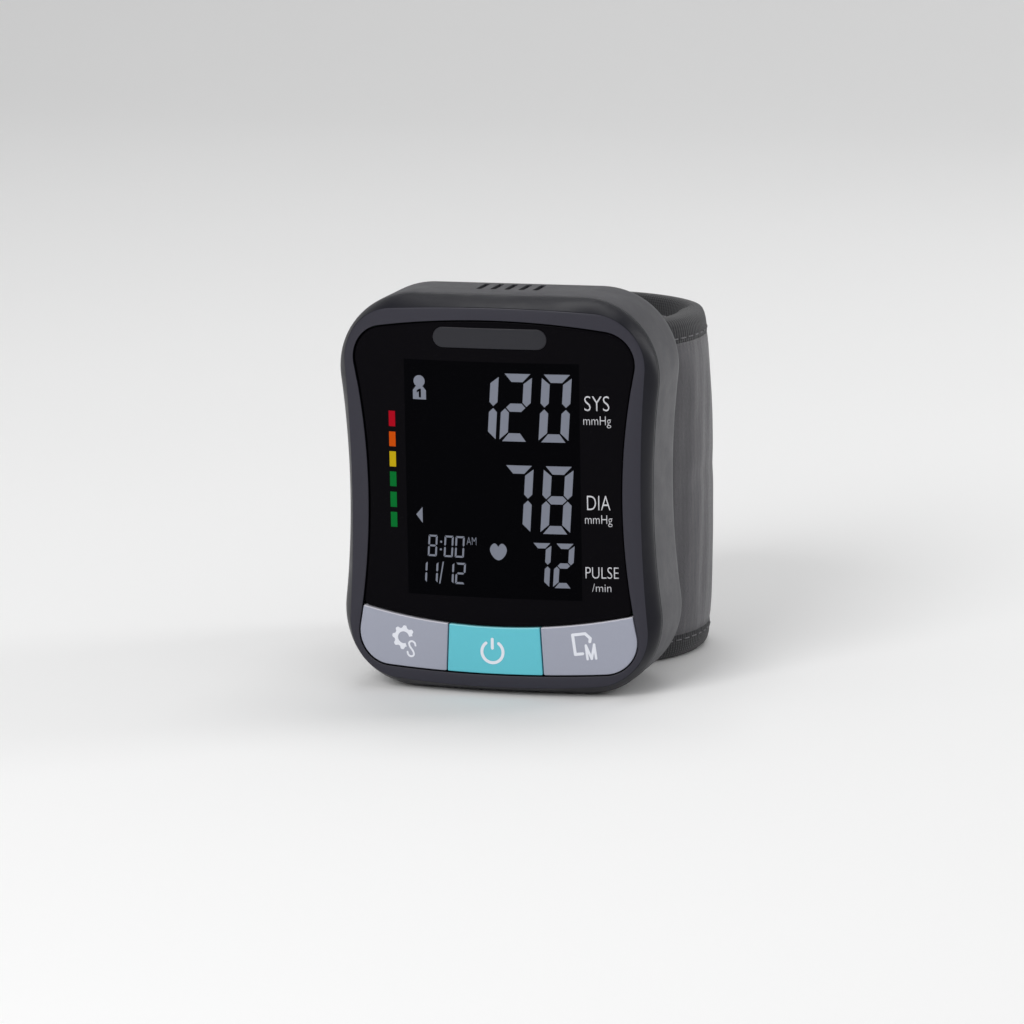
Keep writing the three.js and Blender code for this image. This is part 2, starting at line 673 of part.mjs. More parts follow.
function lcdTray() {
  const body = block([-trayHalfWidth, lcdFront + STEP, CENTRE_Z + trayBottom],
    [trayHalfWidth, trayBack, CENTRE_Z + trayTop]);
  const room = block([-LCD_WIDTH / 2 - FIT, 0, CENTRE_Z + trayBottom - STEP],
    [LCD_WIDTH / 2 + FIT, lcdBack + FIT, CENTRE_Z + lcdTop + FIT]);
  return body.subtract(room);
}

function contactStrip() {
  const low = CENTRE_Z + lcdBottom + (CONTACT_LEDGE - CONTACT_STRIP_HEIGHT) / 2;
  return block([-CONTACT_STRIP_LENGTH / 2, lcdBack + FIT, low],
    [CONTACT_STRIP_LENGTH / 2, boardFront - FIT, low + CONTACT_STRIP_HEIGHT]);
}

function mainBoard() {
  const outline = waistedOutline(insetSize(caseSize, CASE_WALL + BOARD_MARGIN));
  const blank = pushed(outline, boardFront, boardBack, CENTRE_Z);
  const notches = [-1, 1].map((side) => {
    const middle = (side * HOOK_SPACING) / 2;
    const half = HOOK_WIDTH / 2 + FIT;
    return block([middle - half, 0, 0],
      [middle + half, rearEdgeDepth, CASE_WALL + 2 * FIT + HOOK_THICKNESS]);
  });
  const holes = bosses.map(({ x, z }) => rod("y", SCREW_RADIUS + FIT, 0, rearEdgeDepth, [x, 0, z]));
  return cut(blank, ...notches, ...holes);
}

// Cells, springs and contacts

// The spring's wire: a helix with its ends brought square to the cell and the contact.
class SpringPath extends THREE.Curve {
  getPoint(share, target = new THREE.Vector3()) {
    const angle = share * SPRING_CURLS * 2 * Math.PI;
    const climb = SPRING_LENGTH - 2 * SPRING_WIRE_RADIUS;
    return target.set(SPRING_RADIUS * Math.cos(angle), SPRING_RADIUS * Math.sin(angle), share * climb);
  }
}

const SPRING_STEPS_A_CURL = 8;
const SPRING_SIDES = 5;

function spring(x, bottom) {
  const section = new THREE.Shape(arc(0, 0, SPRING_WIRE_RADIUS, 0, 2 * Math.PI, SPRING_SIDES).slice(0, -1));
  const geometry = new THREE.ExtrudeGeometry(section, {
    steps: Math.round(SPRING_CURLS * SPRING_STEPS_A_CURL),
    extrudePath: new SpringPath(),
    bevelEnabled: false,
  });
  return solid(geometry.translate(x, cellY, bottom + SPRING_WIRE_RADIUS));
}

// The least gap between one curl of the spring and the next, measured on points of its wire.
function springSelfGap() {
  const path = new SpringPath();
  const samples = 40 * Math.ceil(SPRING_CURLS);
  const points = path.getPoints(samples);
  const nextCurl = Math.floor((samples / SPRING_CURLS) * 0.7);
  let least = Infinity;
  for (let i = 0; i < points.length; i += 1) {
    for (let j = i + nextCurl; j < points.length; j += 1) {
      least = Math.min(least, points[i].distanceTo(points[j]));
    }
  }
  return least - 2 * SPRING_WIRE_RADIUS;
}

// A cell with its button end up, from a height, or turned over with its button end down.
function cell(x, bottom, upright) {
  const radius = CELL_DIAMETER / 2;
  const shoulder = CELL_LENGTH - CELL_NUB_HEIGHT;
  const profile = upright
    ? [[0, 0], [radius, 0], [radius, shoulder], [CELL_NUB_RADIUS, shoulder], [CELL_NUB_RADIUS, CELL_LENGTH],
      [0, CELL_LENGTH]]
    : [[0, 0], [CELL_NUB_RADIUS, 0], [CELL_NUB_RADIUS, CELL_NUB_HEIGHT], [radius, CELL_NUB_HEIGHT],
      [radius, CELL_LENGTH], [0, CELL_LENGTH]];
  return turned("z", profile, [x, cellY, bottom]);
}

function contact(fromX, toX, bottom) {
  return block([fromX - CONTACT_WIDTH / 2, cellY - CONTACT_WIDTH / 2, bottom],
    [toX + CONTACT_WIDTH / 2, cellY + CONTACT_WIDTH / 2, bottom + CONTACT_THICKNESS]);
}

const bridgeTop = bayBottom + FIT + CONTACT_THICKNESS;
const topContact = bayTop - FIT - CONTACT_THICKNESS;
const outerCellBottom = bridgeTop + 2 * FIT + SPRING_LENGTH;
const innerCellBottom = bridgeTop + FIT;

// Pump, manifold, valve, sensor, hoses and speaker

function pumpMotor() {
  const can = rod("z", PUMP_DIAMETER / 2, motorBottom, motorTop, [pumpX, pumpY, 0]);
  const boreBottom = motorTop - CRANK_BORE_DEPTH;
  return can.subtract(rod("z", CRANK_SHAFT_RADIUS + FIT, boreBottom, motorTop + STEP, [pumpX, pumpY, 0]));
}

const crankDiscBottom = housingBottom + CRANK_DISC_LIFT;

function pumpCrank() {
  const shaftBottom = motorTop - CRANK_BORE_DEPTH + FIT;
  const shaft = rod("z", CRANK_SHAFT_RADIUS, shaftBottom, crankDiscBottom + STEP, [pumpX, pumpY, 0]);
  const disc = rod("z", CRANK_DISC_RADIUS, crankDiscBottom, crankDiscBottom + CRANK_DISC_THICKNESS,
    [pumpX + CRANK_THROW, pumpY, 0]);
  return shaft.add(disc);
}

function pumpHousing() {
  const body = rod("z", PUMP_DIAMETER / 2, housingBottom, housingTop, [pumpX, pumpY, 0]);
  const roomRadius = PUMP_DIAMETER / 2 - PUMP_WALL;
  const room = rod("z", roomRadius, housingBottom - STEP, housingTop - PUMP_WALL, [pumpX, pumpY, 0]);
  return body.subtract(room);
}

function pumpCap() {
  const disc = rod("z", PUMP_DIAMETER / 2, capBottom, capTop, [pumpX, pumpY, 0]);
  return disc.add(rod("z", NIPPLE_RADIUS, capTop - STEP, capTop + NIPPLE_LENGTH, [pumpX, pumpY, 0]));
}

function airManifold() {
  const half = MANIFOLD_SIZE / 2;
  const core = block([pumpX - half, pumpY - half, manifoldBottom],
    [manifoldRight, manifoldBack, manifoldTop]);
  return joined(core,
    rod("z", NIPPLE_RADIUS, manifoldBottom - NIPPLE_LENGTH, manifoldTop + NIPPLE_LENGTH, [pumpX, pumpY, 0]),
    rod("x", NIPPLE_RADIUS, pumpX, manifoldRight + NIPPLE_LENGTH, [0, pumpY, manifoldZ]),
    rod("y", NIPPLE_RADIUS, pumpY, manifoldBack + NIPPLE_LENGTH, [pumpX, 0, manifoldZ]));
}

function valveBody() {
  const half = VALVE_WIDTH / 2;
  const body = block([pumpX - half, boardBack + FIT, valveBottom],
    [pumpX + half, pumpY + VALVE_BACK, valveTop]);
  const nipple = rod("z", NIPPLE_RADIUS, valveBottom - NIPPLE_LENGTH, valveBottom + STEP, [pumpX, pumpY, 0]);
  const bore = rod("z", VALVE_PLUNGER_RADIUS + FIT, valveTop - VALVE_PLUNGER_SUNK - VALVE_TRAVEL - FIT,
    valveTop + STEP, [pumpX, pumpY, 0]);
  return body.add(nipple).subtract(bore);
}

function valvePlunger() {
  return rod("z", VALVE_PLUNGER_RADIUS, valveTop - VALVE_PLUNGER_SUNK, valveTop + VALVE_PLUNGER_PROUD,
    [pumpX, pumpY, 0]);
}

function pressureSensor() {
  const half = SENSOR_SIZE / 2;
  const body = block([sensorLeft, boardBack + FIT, manifoldZ - half],
    [sensorLeft + SENSOR_SIZE, pumpY + half, manifoldZ + half]);
  const tip = sensorLeft - NIPPLE_LENGTH;
  return body.add(rod("x", NIPPLE_RADIUS, tip, sensorLeft + STEP, [0, pumpY, manifoldZ]));
}

function speaker() {
  const outline = pillOutline(SPEAKER_WIDTH, SPEAKER_DEPTH, CORNER_STEPS);
  return raised(outline.map((point) => new THREE.Vector2(point.x, point.y + speakerY)),
    speakerTop - SPEAKER_THICKNESS, speakerTop);
}

// Cuff

// A point of the loop at an angle from its right-hand side, at a distance outside its inner face.
function loopPoint(angle, offset) {
  const [cos, sin] = [Math.cos(degrees(angle)), Math.sin(degrees(angle))];
  const normal = new THREE.Vector2(cos / CUFF_HALF_WIDTH, sin / CUFF_HALF_DEPTH).normalize();
  return new THREE.Vector2(CUFF_HALF_WIDTH * cos, loopY + CUFF_HALF_DEPTH * sin)
    .addScaledVector(normal, offset);
}

// A layer of the loop between two angles: its inner face may step outwards along the way.
function layer(from, to, inner, thickness, bottom, top) {
  const steps = Math.ceil((to - from) / BAND_STEP_ANGLE);
  const angles = Array.from({ length: steps + 1 }, (_, i) => from + ((to - from) * i) / steps);
  const innerAt = typeof inner === "function" ? inner : () => inner;
  const outside = angles.map((angle) => loopPoint(angle, innerAt(angle) + thickness));
  const inside = angles.map((angle) => loopPoint(angle, innerAt(angle))).reverse();
  return raised([...outside, ...inside], bottom, top);
}

const fixedFrom = CUFF_STUB_ANGLE;
const fixedTo = 360 + CUFF_HINGE_ANGLE - CUFF_HINGE_GAP_ANGLE / 2;
const flapFrom = CUFF_HINGE_ANGLE + CUFF_HINGE_GAP_ANGLE / 2;
const coreBottom = CUFF_CORE_MARGIN;
const coreTop = CUFF_HEIGHT - CUFF_CORE_MARGIN;
const bladderInner = CUFF_COVER + FIT;
const outerCoverInner = cuffThickness - CUFF_COVER;
const tailRise = HOOK_PATCH_THICKNESS + 2 * FIT + CUFF_COVER;

const hoseHoleBack = loopY - CUFF_HALF_DEPTH - CUFF_COVER;
const cuffHoseHole = rod("y", hoseOuter + FIT, saddleDepth, hoseHoleBack, [pumpX, 0, manifoldZ]);
const laneShare = laneX / CUFF_HALF_WIDTH;
const laneStiffener = loopY - CUFF_HALF_DEPTH * Math.sqrt(1 - laneShare ** 2) - stiffenerInner;

function cuffScrewHoles(radius, from, to) {
  return cuffScrews.map(({ x, z }) => rod("y", radius, from, to, [x, 0, z]));
}

function cuffOuterCover() {
  const cover = layer(fixedFrom, fixedTo, outerCoverInner, CUFF_COVER, 0, CUFF_HEIGHT);
  return cut(cover, cuffHoseHole, ...cuffScrewHoles(SCREW_RADIUS + FIT, saddleDepth, laneStiffener));
}

function cuffStiffener() {
  const from = fixedFrom + BAND_STEP_ANGLE / 2;
  const strip = layer(from, fixedTo, stiffenerInner, CUFF_STIFFENER, coreBottom, coreTop);
  return cut(strip, cuffHoseHole, ...cuffScrewHoles(SCREW_RADIUS + FIT, saddleDepth, loopY),
    ...cuffScrewHoles(SCREW_HEAD_RADIUS + FIT, laneStiffener - CUFF_SCREW_SINK, loopY));
}

function cuffScrew({ x, z }) {
  const neck = laneStiffener - CUFF_SCREW_SINK + FIT / 3;
  const tip = neck - CUFF_SCREW_LENGTH;
  const top = neck + CUFF_SCREW_HEAD_THICKNESS;
  return turned("y", [[0, tip], [SCREW_RADIUS, tip], [SCREW_RADIUS, neck], [SCREW_HEAD_RADIUS, neck],
    [SCREW_HEAD_RADIUS, top], [0, top]], [x, 0, z]);
}

function airBladder() {
  return layer(fixedFrom + BAND_STEP_ANGLE / 2, fixedTo, bladderInner, CUFF_BLADDER, coreBottom, coreTop);
}

function cuffInnerCover() {
  return layer(fixedFrom, fixedTo, 0, CUFF_COVER, 0, CUFF_HEIGHT);
}

// The flap's outer cover runs level with the loop, then steps out to pass over the end of the fixed part.
function flapOuterCover() {
  const inner = (angle) => {
    const share = THREE.MathUtils.smoothstep(angle, FLAP_BODY_ANGLE, FLAP_STEP_ANGLE);
    return outerCoverInner + share * tailRise;
  };
  return layer(flapFrom, FLAP_TAIL_ANGLE, inner, CUFF_COVER, 0, CUFF_HEIGHT);
}

function flapStiffener() {
  const to = FLAP_BODY_ANGLE - BAND_STEP_ANGLE / 2;
  return layer(flapFrom, to, stiffenerInner, CUFF_STIFFENER, coreBottom, coreTop);
}

function flapInnerCover() {
  return layer(flapFrom, FLAP_BODY_ANGLE, stiffenerInner - FIT - CUFF_COVER, CUFF_COVER, 0, CUFF_HEIGHT);
}

function hookPatch() {
  return layer(CUFF_STUB_ANGLE + BAND_STEP_ANGLE, FLAP_TAIL_ANGLE - BAND_STEP_ANGLE / 2, cuffThickness + FIT,
    HOOK_PATCH_THICKNESS, HOOK_PATCH_MARGIN, CUFF_HEIGHT - HOOK_PATCH_MARGIN);
}

function hose(axis, from, to, at) {
  return tube(axis, hoseOuter, hoseInner, from + FIT, to - FIT, at);
}

// Materials

function finish(colour, roughness, metalness = 0) {
  return new THREE.MeshStandardMaterial({ color: colour, roughness, metalness });
}

const charcoal = finish(0x46464a, 0.45);
const midGrey = finish(0x6a6768, 0.5);
const glossBlack = finish(0x0a0a0c, 0.08);
const badgeGrey = finish(0x3c3c3f, 0.4);
const buttonGrey = finish(0x9b9eaa, 0.45);
const buttonTeal = finish(0x62becb, 0.45);
const glass = finish(0x15171a, 0.1);
const whitePlastic = finish(0xd8d8d4, 0.5);
const blackRubber = finish(0x1c1c1c, 0.8);
const boardGreen = finish(0x1f5a34, 0.5);
const steel = finish(0xb5b7ba, 0.35, 1);
const brass = finish(0xb99a4c, 0.35, 1);
const clearHose = finish(0xc9cdcb, 0.4);
const cellLabel = finish(0x2b4f9e, 0.35);
const cuffFabric = finish(0x5f5c5d, 0.95);
const cuffLining = finish(0x3a393c, 0.95);
const hookTape = finish(0x2a2a2c, 0.9);

// Assembly

const monitor = new THREE.Group();
monitor.position.set(0, -totalDepth / 2, 0);

function addPiece(name, shape, material) {
  const { vertProperties, triVerts } = shape.getMesh();
  const geometry = new THREE.BufferGeometry();
  geometry.setAttribute("position", new THREE.BufferAttribute(new Float32Array(vertProperties), 3));
  geometry.setIndex(new THREE.BufferAttribute(new Uint32Array(triVerts), 1));
  geometry.computeVertexNormals();
  const piece = new THREE.Mesh(geometry, material);
  piece.name = name;
  monitor.add(piece);
}

addPiece("front_cover", frontCover(), charcoal);
addPiece("rear_cover", rearCover(), midGrey);
addPiece("battery_door", batteryDoor(), midGrey);
bosses.forEach((boss, i) => addPiece(`case_screw_${i + 1}`, caseScrew(boss), steel));

addPiece("display_lens", displayLens(), glossBlack);
addPiece("badge_plate", badgePlate(), badgeGrey);
["settings", "power", "memory"].forEach((name, place) => {
  addPiece(`${name}_button`, button(place), name === "power" ? buttonTeal : buttonGrey);
  addPiece(`${name}_switch`, switchBody(place), steel);
  addPiece(`${name}_plunger`, switchPlunger(place), blackRubber);
});

addPiece("display_glass", lcdGlass(), glass);
addPiece("backlight_tray", lcdTray(), whitePlastic);
addPiece("contact_strip", contactStrip(), blackRubber);
addPiece("main_board", mainBoard(), boardGreen);

addPiece("battery_outer", cell(outerCellX, outerCellBottom, true), cellLabel);
addPiece("battery_inner", cell(innerCellX, innerCellBottom, false), cellLabel);
addPiece("battery_spring_lower", spring(outerCellX, bridgeTop + FIT), steel);
addPiece("battery_spring_upper", spring(innerCellX, topContact - FIT - SPRING_LENGTH), steel);
addPiece("battery_bridge", contact(outerCellX, innerCellX, bayBottom + FIT), steel);
addPiece("battery_plus_contact", contact(outerCellX, outerCellX, topContact), steel);
addPiece("battery_minus_contact", contact(innerCellX, innerCellX, topContact), steel);
console.log(`least gap of the spring to itself: ${springSelfGap().toFixed(2)} mm`);

addPiece("pump_motor", pumpMotor(), steel);
addPiece("pump_crank", pumpCrank(), brass);
addPiece("pump_housing", pumpHousing(), whitePlastic);
addPiece("pump_cap", pumpCap(), whitePlastic);
addPiece("air_manifold", airManifold(), whitePlastic);
addPiece("valve_body", valveBody(), steel);
addPiece("valve_plunger", valvePlunger(), brass);
addPiece("pressure_sensor", pressureSensor(), blackRubber);
addPiece("speaker", speaker(), blackRubber);
addPiece("pump_hose", hose("z", capTop, manifoldBottom, [pumpX, pumpY, 0]), clearHose);
addPiece("valve_hose", hose("z", manifoldTop, valveBottom, [pumpX, pumpY, 0]), clearHose);
addPiece("sensor_hose", hose("x", manifoldRight, sensorLeft, [0, pumpY, manifoldZ]), clearHose);
const hoseNear = Math.max(Math.abs(pumpX) - hoseOuter, 0) / CUFF_HALF_WIDTH;
const bladderFront = loopY - CUFF_HALF_DEPTH * Math.sqrt(1 - hoseNear ** 2) - bladderInner - CUFF_BLADDER;
addPiece("cuff_hose", hose("y", manifoldBack, bladderFront, [pumpX, 0, manifoldZ]), clearHose);

addPiece("cuff_outer_cover", cuffOuterCover(), cuffFabric);
addPiece("cuff_stiffener", cuffStiffener(), whitePlastic);
cuffScrews.forEach((place, i) => addPiece(`cuff_screw_${i + 1}`, cuffScrew(place), steel));
addPiece("air_bladder", airBladder(), blackRubber);
addPiece("cuff_inner_cover", cuffInnerCover(), cuffLining);
addPiece("flap_outer_cover", flapOuterCover(), cuffFabric);
addPiece("flap_stiffener", flapStiffener(), whitePlastic);
addPiece("flap_inner_cover", flapInnerCover(), cuffLining);
addPiece("hook_patch", hookPatch(), hookTape);

export default monitor;
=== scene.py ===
# %% [markdown]
# # A wrist blood pressure monitor
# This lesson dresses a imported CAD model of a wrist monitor: a waisted charcoal case with a black display
# window, two grey buttons and a teal one, and a soft cuff behind it. The CAD model is a fixed frame that
# already has the right sizes and joints. Each step below makes one piece, or one finish, and says how it
# moves.

# %% Load the frame
import json
import math

import bpy
import numpy as np
from mathutils import Matrix, Vector


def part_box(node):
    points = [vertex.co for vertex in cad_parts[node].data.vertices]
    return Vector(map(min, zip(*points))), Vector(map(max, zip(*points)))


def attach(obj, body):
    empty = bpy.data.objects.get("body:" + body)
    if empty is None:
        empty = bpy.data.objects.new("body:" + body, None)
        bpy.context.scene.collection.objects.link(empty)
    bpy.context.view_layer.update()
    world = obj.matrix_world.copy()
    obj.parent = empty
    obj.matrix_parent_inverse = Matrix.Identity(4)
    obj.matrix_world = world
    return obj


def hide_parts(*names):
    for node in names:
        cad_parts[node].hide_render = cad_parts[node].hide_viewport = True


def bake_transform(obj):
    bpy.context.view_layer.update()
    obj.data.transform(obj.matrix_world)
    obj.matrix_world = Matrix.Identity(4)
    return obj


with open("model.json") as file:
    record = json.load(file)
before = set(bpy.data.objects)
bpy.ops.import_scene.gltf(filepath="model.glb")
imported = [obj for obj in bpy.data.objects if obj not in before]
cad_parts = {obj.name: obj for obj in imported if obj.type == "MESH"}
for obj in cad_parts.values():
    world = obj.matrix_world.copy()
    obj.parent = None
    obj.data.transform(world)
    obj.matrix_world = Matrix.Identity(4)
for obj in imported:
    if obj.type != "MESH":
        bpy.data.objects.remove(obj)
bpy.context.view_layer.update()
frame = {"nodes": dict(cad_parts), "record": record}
nodes = frame["nodes"]

MM = 0.001
FACE_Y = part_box("front_cover")[0].y / MM
CASE_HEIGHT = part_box("front_cover")[1].z / MM
CENTRE_Z = CASE_HEIGHT / 2
print("CAD nodes:", len(nodes), " face plane at y =", round(FACE_Y, 2), "mm")

# %% [markdown]
# ## The camera
# A product picture is taken from far away with a long lens, so that the case hardly tapers. The lens
# length comes from the picture's focal length in pixels, and the place from a turn to the right and a
# tilt from above. The axes of the camera are worked out as three vectors, which is easier to follow than
# angles when there is a small roll.

# %% Camera
FOCAL_PIXELS = 5150
PICTURE = 1024
SENSOR = 36
TURN = math.radians(16.8)
TILT = math.radians(11.15)
ROLL = math.radians(-1.0)
DISTANCE = 1.045
FACE_PIXEL = (491.3, 499.2)

towards = Vector((math.sin(TURN) * math.cos(TILT), -math.cos(TURN) * math.cos(TILT), math.sin(TILT)))
level = Vector((math.cos(TURN), math.sin(TURN), 0))
upright = towards.cross(level)
camera_x = level * math.cos(ROLL) + upright * math.sin(ROLL)
camera_y = upright * math.cos(ROLL) - level * math.sin(ROLL)
aside = (FACE_PIXEL[0] - PICTURE / 2) / FOCAL_PIXELS * DISTANCE
above = (PICTURE / 2 - FACE_PIXEL[1]) / FOCAL_PIXELS * DISTANCE
face_centre = Vector((0, FACE_Y, CENTRE_Z)) * MM
place = face_centre + towards * DISTANCE - camera_x * aside - camera_y * above

camera_data = bpy.data.cameras.new("camera")
camera_data.sensor_width = SENSOR
camera_data.lens = SENSOR * FOCAL_PIXELS / PICTURE
camera_data.clip_end = 20
camera = bpy.data.objects.new("camera", camera_data)
bpy.context.scene.collection.objects.link(camera)
turned = Matrix((camera_x, camera_y, towards)).transposed().to_4x4()
camera.matrix_world = Matrix.Translation(place) @ turned
bpy.context.scene.camera = camera
bpy.context.scene.view_settings.view_transform = "Standard"
print("camera lens:", round(camera_data.lens, 1), "mm")

# %% [markdown]
# ## Small helpers
# Many steps below add a primitive and put its points in place, or add a modifier and apply it. These
# helpers hold the habits of such steps, so that a later cell says only what is special about its piece.
# Most lengths are in millimetres, and depths are counted from the face plane.

# %% Helpers for points
def ladder(start, end, steps):
    """Evenly spaced values from start to end."""
    return [start + (end - start) * i / steps for i in range(steps + 1)]


def part_way(first, second, share):
    return tuple(a + (b - a) * share for a, b in zip(first, second))


def sag(x, radius):
    """How far an arc falls back from its middle at a distance x to the side."""
    return radius - math.sqrt(radius ** 2 - x ** 2)


def in_frame(x, y, z):
    """A point in millimetres, its depth counted from the face plane, in the frame's metres."""
    return x * MM, (y + FACE_Y) * MM, z * MM


def put_points(piece, points):
    piece.data.vertices.foreach_set("co", np.array(points, dtype=np.float32).ravel())
    piece.data.update()


# %% Helpers for pieces
def nothing_selected():
    if bpy.context.object and bpy.context.object.mode != "OBJECT":
        bpy.ops.object.mode_set(mode="OBJECT")
    bpy.ops.object.select_all(action="DESELECT")


def active(piece):
    nothing_selected()
    piece.select_set(True)
    bpy.context.view_layer.objects.active = piece


def added(name, operator, **settings):
    """Runs an operator that adds an object, and names the object."""
    nothing_selected()
    operator(**settings)
    piece = bpy.context.object
    piece.name = name
    return piece


def settled(piece):
    """Applies a piece's place, turn and scale to its points."""
    active(piece)
    bpy.ops.object.transform_apply(location=True, rotation=True, scale=True)
    return piece


def modified(piece, kind, **settings):
    """Gives a piece a modifier and applies it."""
    active(piece)
    change = piece.modifiers.new(kind, kind)
    for setting, value in settings.items():
        setattr(change, setting, value)
    bpy.ops.object.modifier_apply(modifier=kind)


def edit_some(piece, kind, test):
    """Opens a piece for editing with just those faces, or edges, selected that pass a test."""
    active(piece)
    bpy.ops.object.mode_set(mode="EDIT")
    bpy.ops.mesh.select_mode(type=kind)
    bpy.ops.mesh.select_all(action="DESELECT")
    bpy.ops.object.mode_set(mode="OBJECT")
    for item in piece.data.edges if kind == "EDGE" else piece.data.polygons:
        item.select = test(item)
    bpy.ops.object.mode_set(mode="EDIT")


def joined(name, pieces):
    nothing_selected()
    for piece in pieces:
        piece.select_set(True)
    bpy.context.view_layer.objects.active = pieces[0]
    if len(pieces) > 1:
        bpy.ops.object.join()
    pieces[0].name = name
    return pieces[0]


def soften(piece, width, angle=30, segments=3):
    """Rounds the edges of a piece that turn by more than an angle."""
    modified(piece, "BEVEL", width=width * MM, segments=segments, limit_method="ANGLE",
             angle_limit=math.radians(angle))


def smooth(piece, angle=35):
    active(piece)
    bpy.ops.object.shade_smooth_by_angle(angle=math.radians(angle))


def paint(piece, *materials):
    piece.data.materials.clear()
    for material in materials:
        piece.data.materials.append(material)


# %% Helpers for shaders
def srgb(*channels):
    """A colour written as 0 to 255 screen values, as the linear numbers that a shader takes."""
    shares = [value / 255 for value in channels]
    return tuple(s / 12.92 if s <= 0.04045 else ((s + 0.055) / 1.055) ** 2.4 for s in shares) + (1.0,)


def fill(tree, socket, value):
    """Gives an input a fixed value, or a link where the value is another node's output."""
    if isinstance(value, bpy.types.NodeSocket):
        tree.links.new(value, socket)
    else:
        socket.default_value = value


def wire(tree, node, **inputs):
    for name, value in inputs.items():
        fill(tree, node.inputs[name.replace("_", " ")], value)
    return node


def new_node(tree, kind, **inputs):
    return wire(tree, tree.nodes.new(f"ShaderNode{kind}"), **inputs)


def object_place(tree):
    return new_node(tree, "TexCoord").outputs["Object"]


def noise(tree, coordinates, scale, detail=2.0, rough=0.5):
    node = new_node(tree, "TexNoise", Vector=coordinates, Scale=scale, Detail=detail, Roughness=rough)
    return node.outputs["Fac"]


def maths(tree, operation, first, second):
    node = new_node(tree, "Math")
    node.operation = operation
    for socket, value in zip(node.inputs, (first, second)):
        fill(tree, socket, value)
    return node.outputs[0]


def weighted(tree, first, first_share, second, second_share):
    first_part = maths(tree, "MULTIPLY", first, first_share)
    return maths(tree, "ADD", first_part, maths(tree, "MULTIPLY", second, second_share))


COLOUR_SOCKETS, VALUE_SOCKETS = (0, 6, 7, 2), (0, 2, 3, 0)


def mixed(tree, share, first, second, sockets=COLOUR_SOCKETS):
    """A Mix node between two colours, or two values. It has sockets for both, told apart by number."""
    node = new_node(tree, "Mix")
    node.data_type = "RGBA" if sockets == COLOUR_SOCKETS else "FLOAT"
    for number, value in zip(sockets, (share, first, second)):
        fill(tree, node.inputs[number], value)
    return node.outputs[sockets[-1]]


def new_material(name):
    material = bpy.data.materials.new(name)
    material.use_nodes = True
    return material, material.node_tree, material.node_tree.nodes["Principled BSDF"]


print("helpers ready")

# %% [markdown]
# ## The studio
# The stage is one pale sheet that runs from the floor up the back wall in a curve, as in a photographer's
# sweep. It is made from a plane: its back edge is extruded upwards and the fold is bevelled round. A soft
# world light fills the shadows, and three large lamps give the satin plastic its long highlights.

# %% Sweep
SWEEP_SIZE = 6.0
SWEEP_FORWARD = 1.2
SWEEP_HEIGHT = 3.0
SWEEP_FOLD = 0.9

sweep = added("sweep", bpy.ops.mesh.primitive_plane_add, size=SWEEP_SIZE, location=(0, -SWEEP_FORWARD, 0))
edit_some(sweep, "EDGE", lambda edge: all(sweep.data.vertices[v].co.y > 0 for v in edge.vertices))
bpy.ops.mesh.extrude_region_move(TRANSFORM_OT_translate={"value": (0, 0, SWEEP_HEIGHT)})
modified(sweep, "BEVEL", width=SWEEP_FOLD, segments=24)
bpy.ops.object.shade_smooth()
settled(sweep)

paper, paper_tree, paper_shader = new_material("sweep_paper")
paper_cloud = noise(paper_tree, object_place(paper_tree), scale=3.0)
paper_tint = mixed(paper_tree, paper_cloud, srgb(243, 243, 243), srgb(247, 247, 247))
wire(paper_tree, paper_shader, Base_Color=paper_tint, Roughness=0.9, Specular_IOR_Level=0.1)
paint(sweep, paper)
print("sweep faces:", len(sweep.data.polygons))

# %% Lamps and world
LAMP_AIM = Vector((0, 0, 0.04))
WORLD_STRENGTH = 0.42


def lamp(name, at, size, watts):
    data = bpy.data.lights.new(name, "AREA")
    data.shape = "RECTANGLE"
    data.size, data.size_y = size
    data.energy = watts
    light = bpy.data.objects.new(name, data)
    bpy.context.scene.collection.objects.link(light)
    light.location = at
    light.rotation_euler = (LAMP_AIM - Vector(at)).to_track_quat("-Z", "Y").to_euler()


lamp("key_lamp", at=(-0.3, -1.05, 0.75), size=(0.6, 0.7), watts=9.0)
lamp("side_lamp", at=(0.9, 0.55, 0.4), size=(0.3, 0.8), watts=3.0)
lamp("top_lamp", at=(0.0, 0.5, 1.2), size=(0.9, 0.5), watts=4.0)
world = bpy.data.worlds.new("studio")
world.use_nodes = True
wire(world.node_tree, world.node_tree.nodes["Background"], Color=(1, 1, 1, 1), Strength=WORLD_STRENGTH)
bpy.context.scene.world = world
print("lamps:", [light.name for light in bpy.data.lights])

# %% [markdown]
# ## Effects shared by the finishes
# Moulded plastic is never one flat colour: its mould leaves a fine grain, and its shade drifts a little.
# Cloth has ribs and a nap. Each effect is a node group that is built once, and each finish places it with
# its own numbers.

# %% Grain of moulded plastic
def node_group(name, inputs, outputs):
    """A new group with its inner ends. An input without a default value takes a place."""
    group = bpy.data.node_groups.new(name, "ShaderNodeTree")
    for socket, default in inputs.items():
        kind = "NodeSocketVector" if default is None else "NodeSocketFloat"
        made = group.interface.new_socket(name=socket, in_out="INPUT", socket_type=kind)
        if default is not None:
            made.default_value = default
    for socket in outputs:
        group.interface.new_socket(name=socket, in_out="OUTPUT", socket_type="NodeSocketFloat")
    return group, group.nodes.new("NodeGroupInput").outputs, group.nodes.new("NodeGroupOutput")


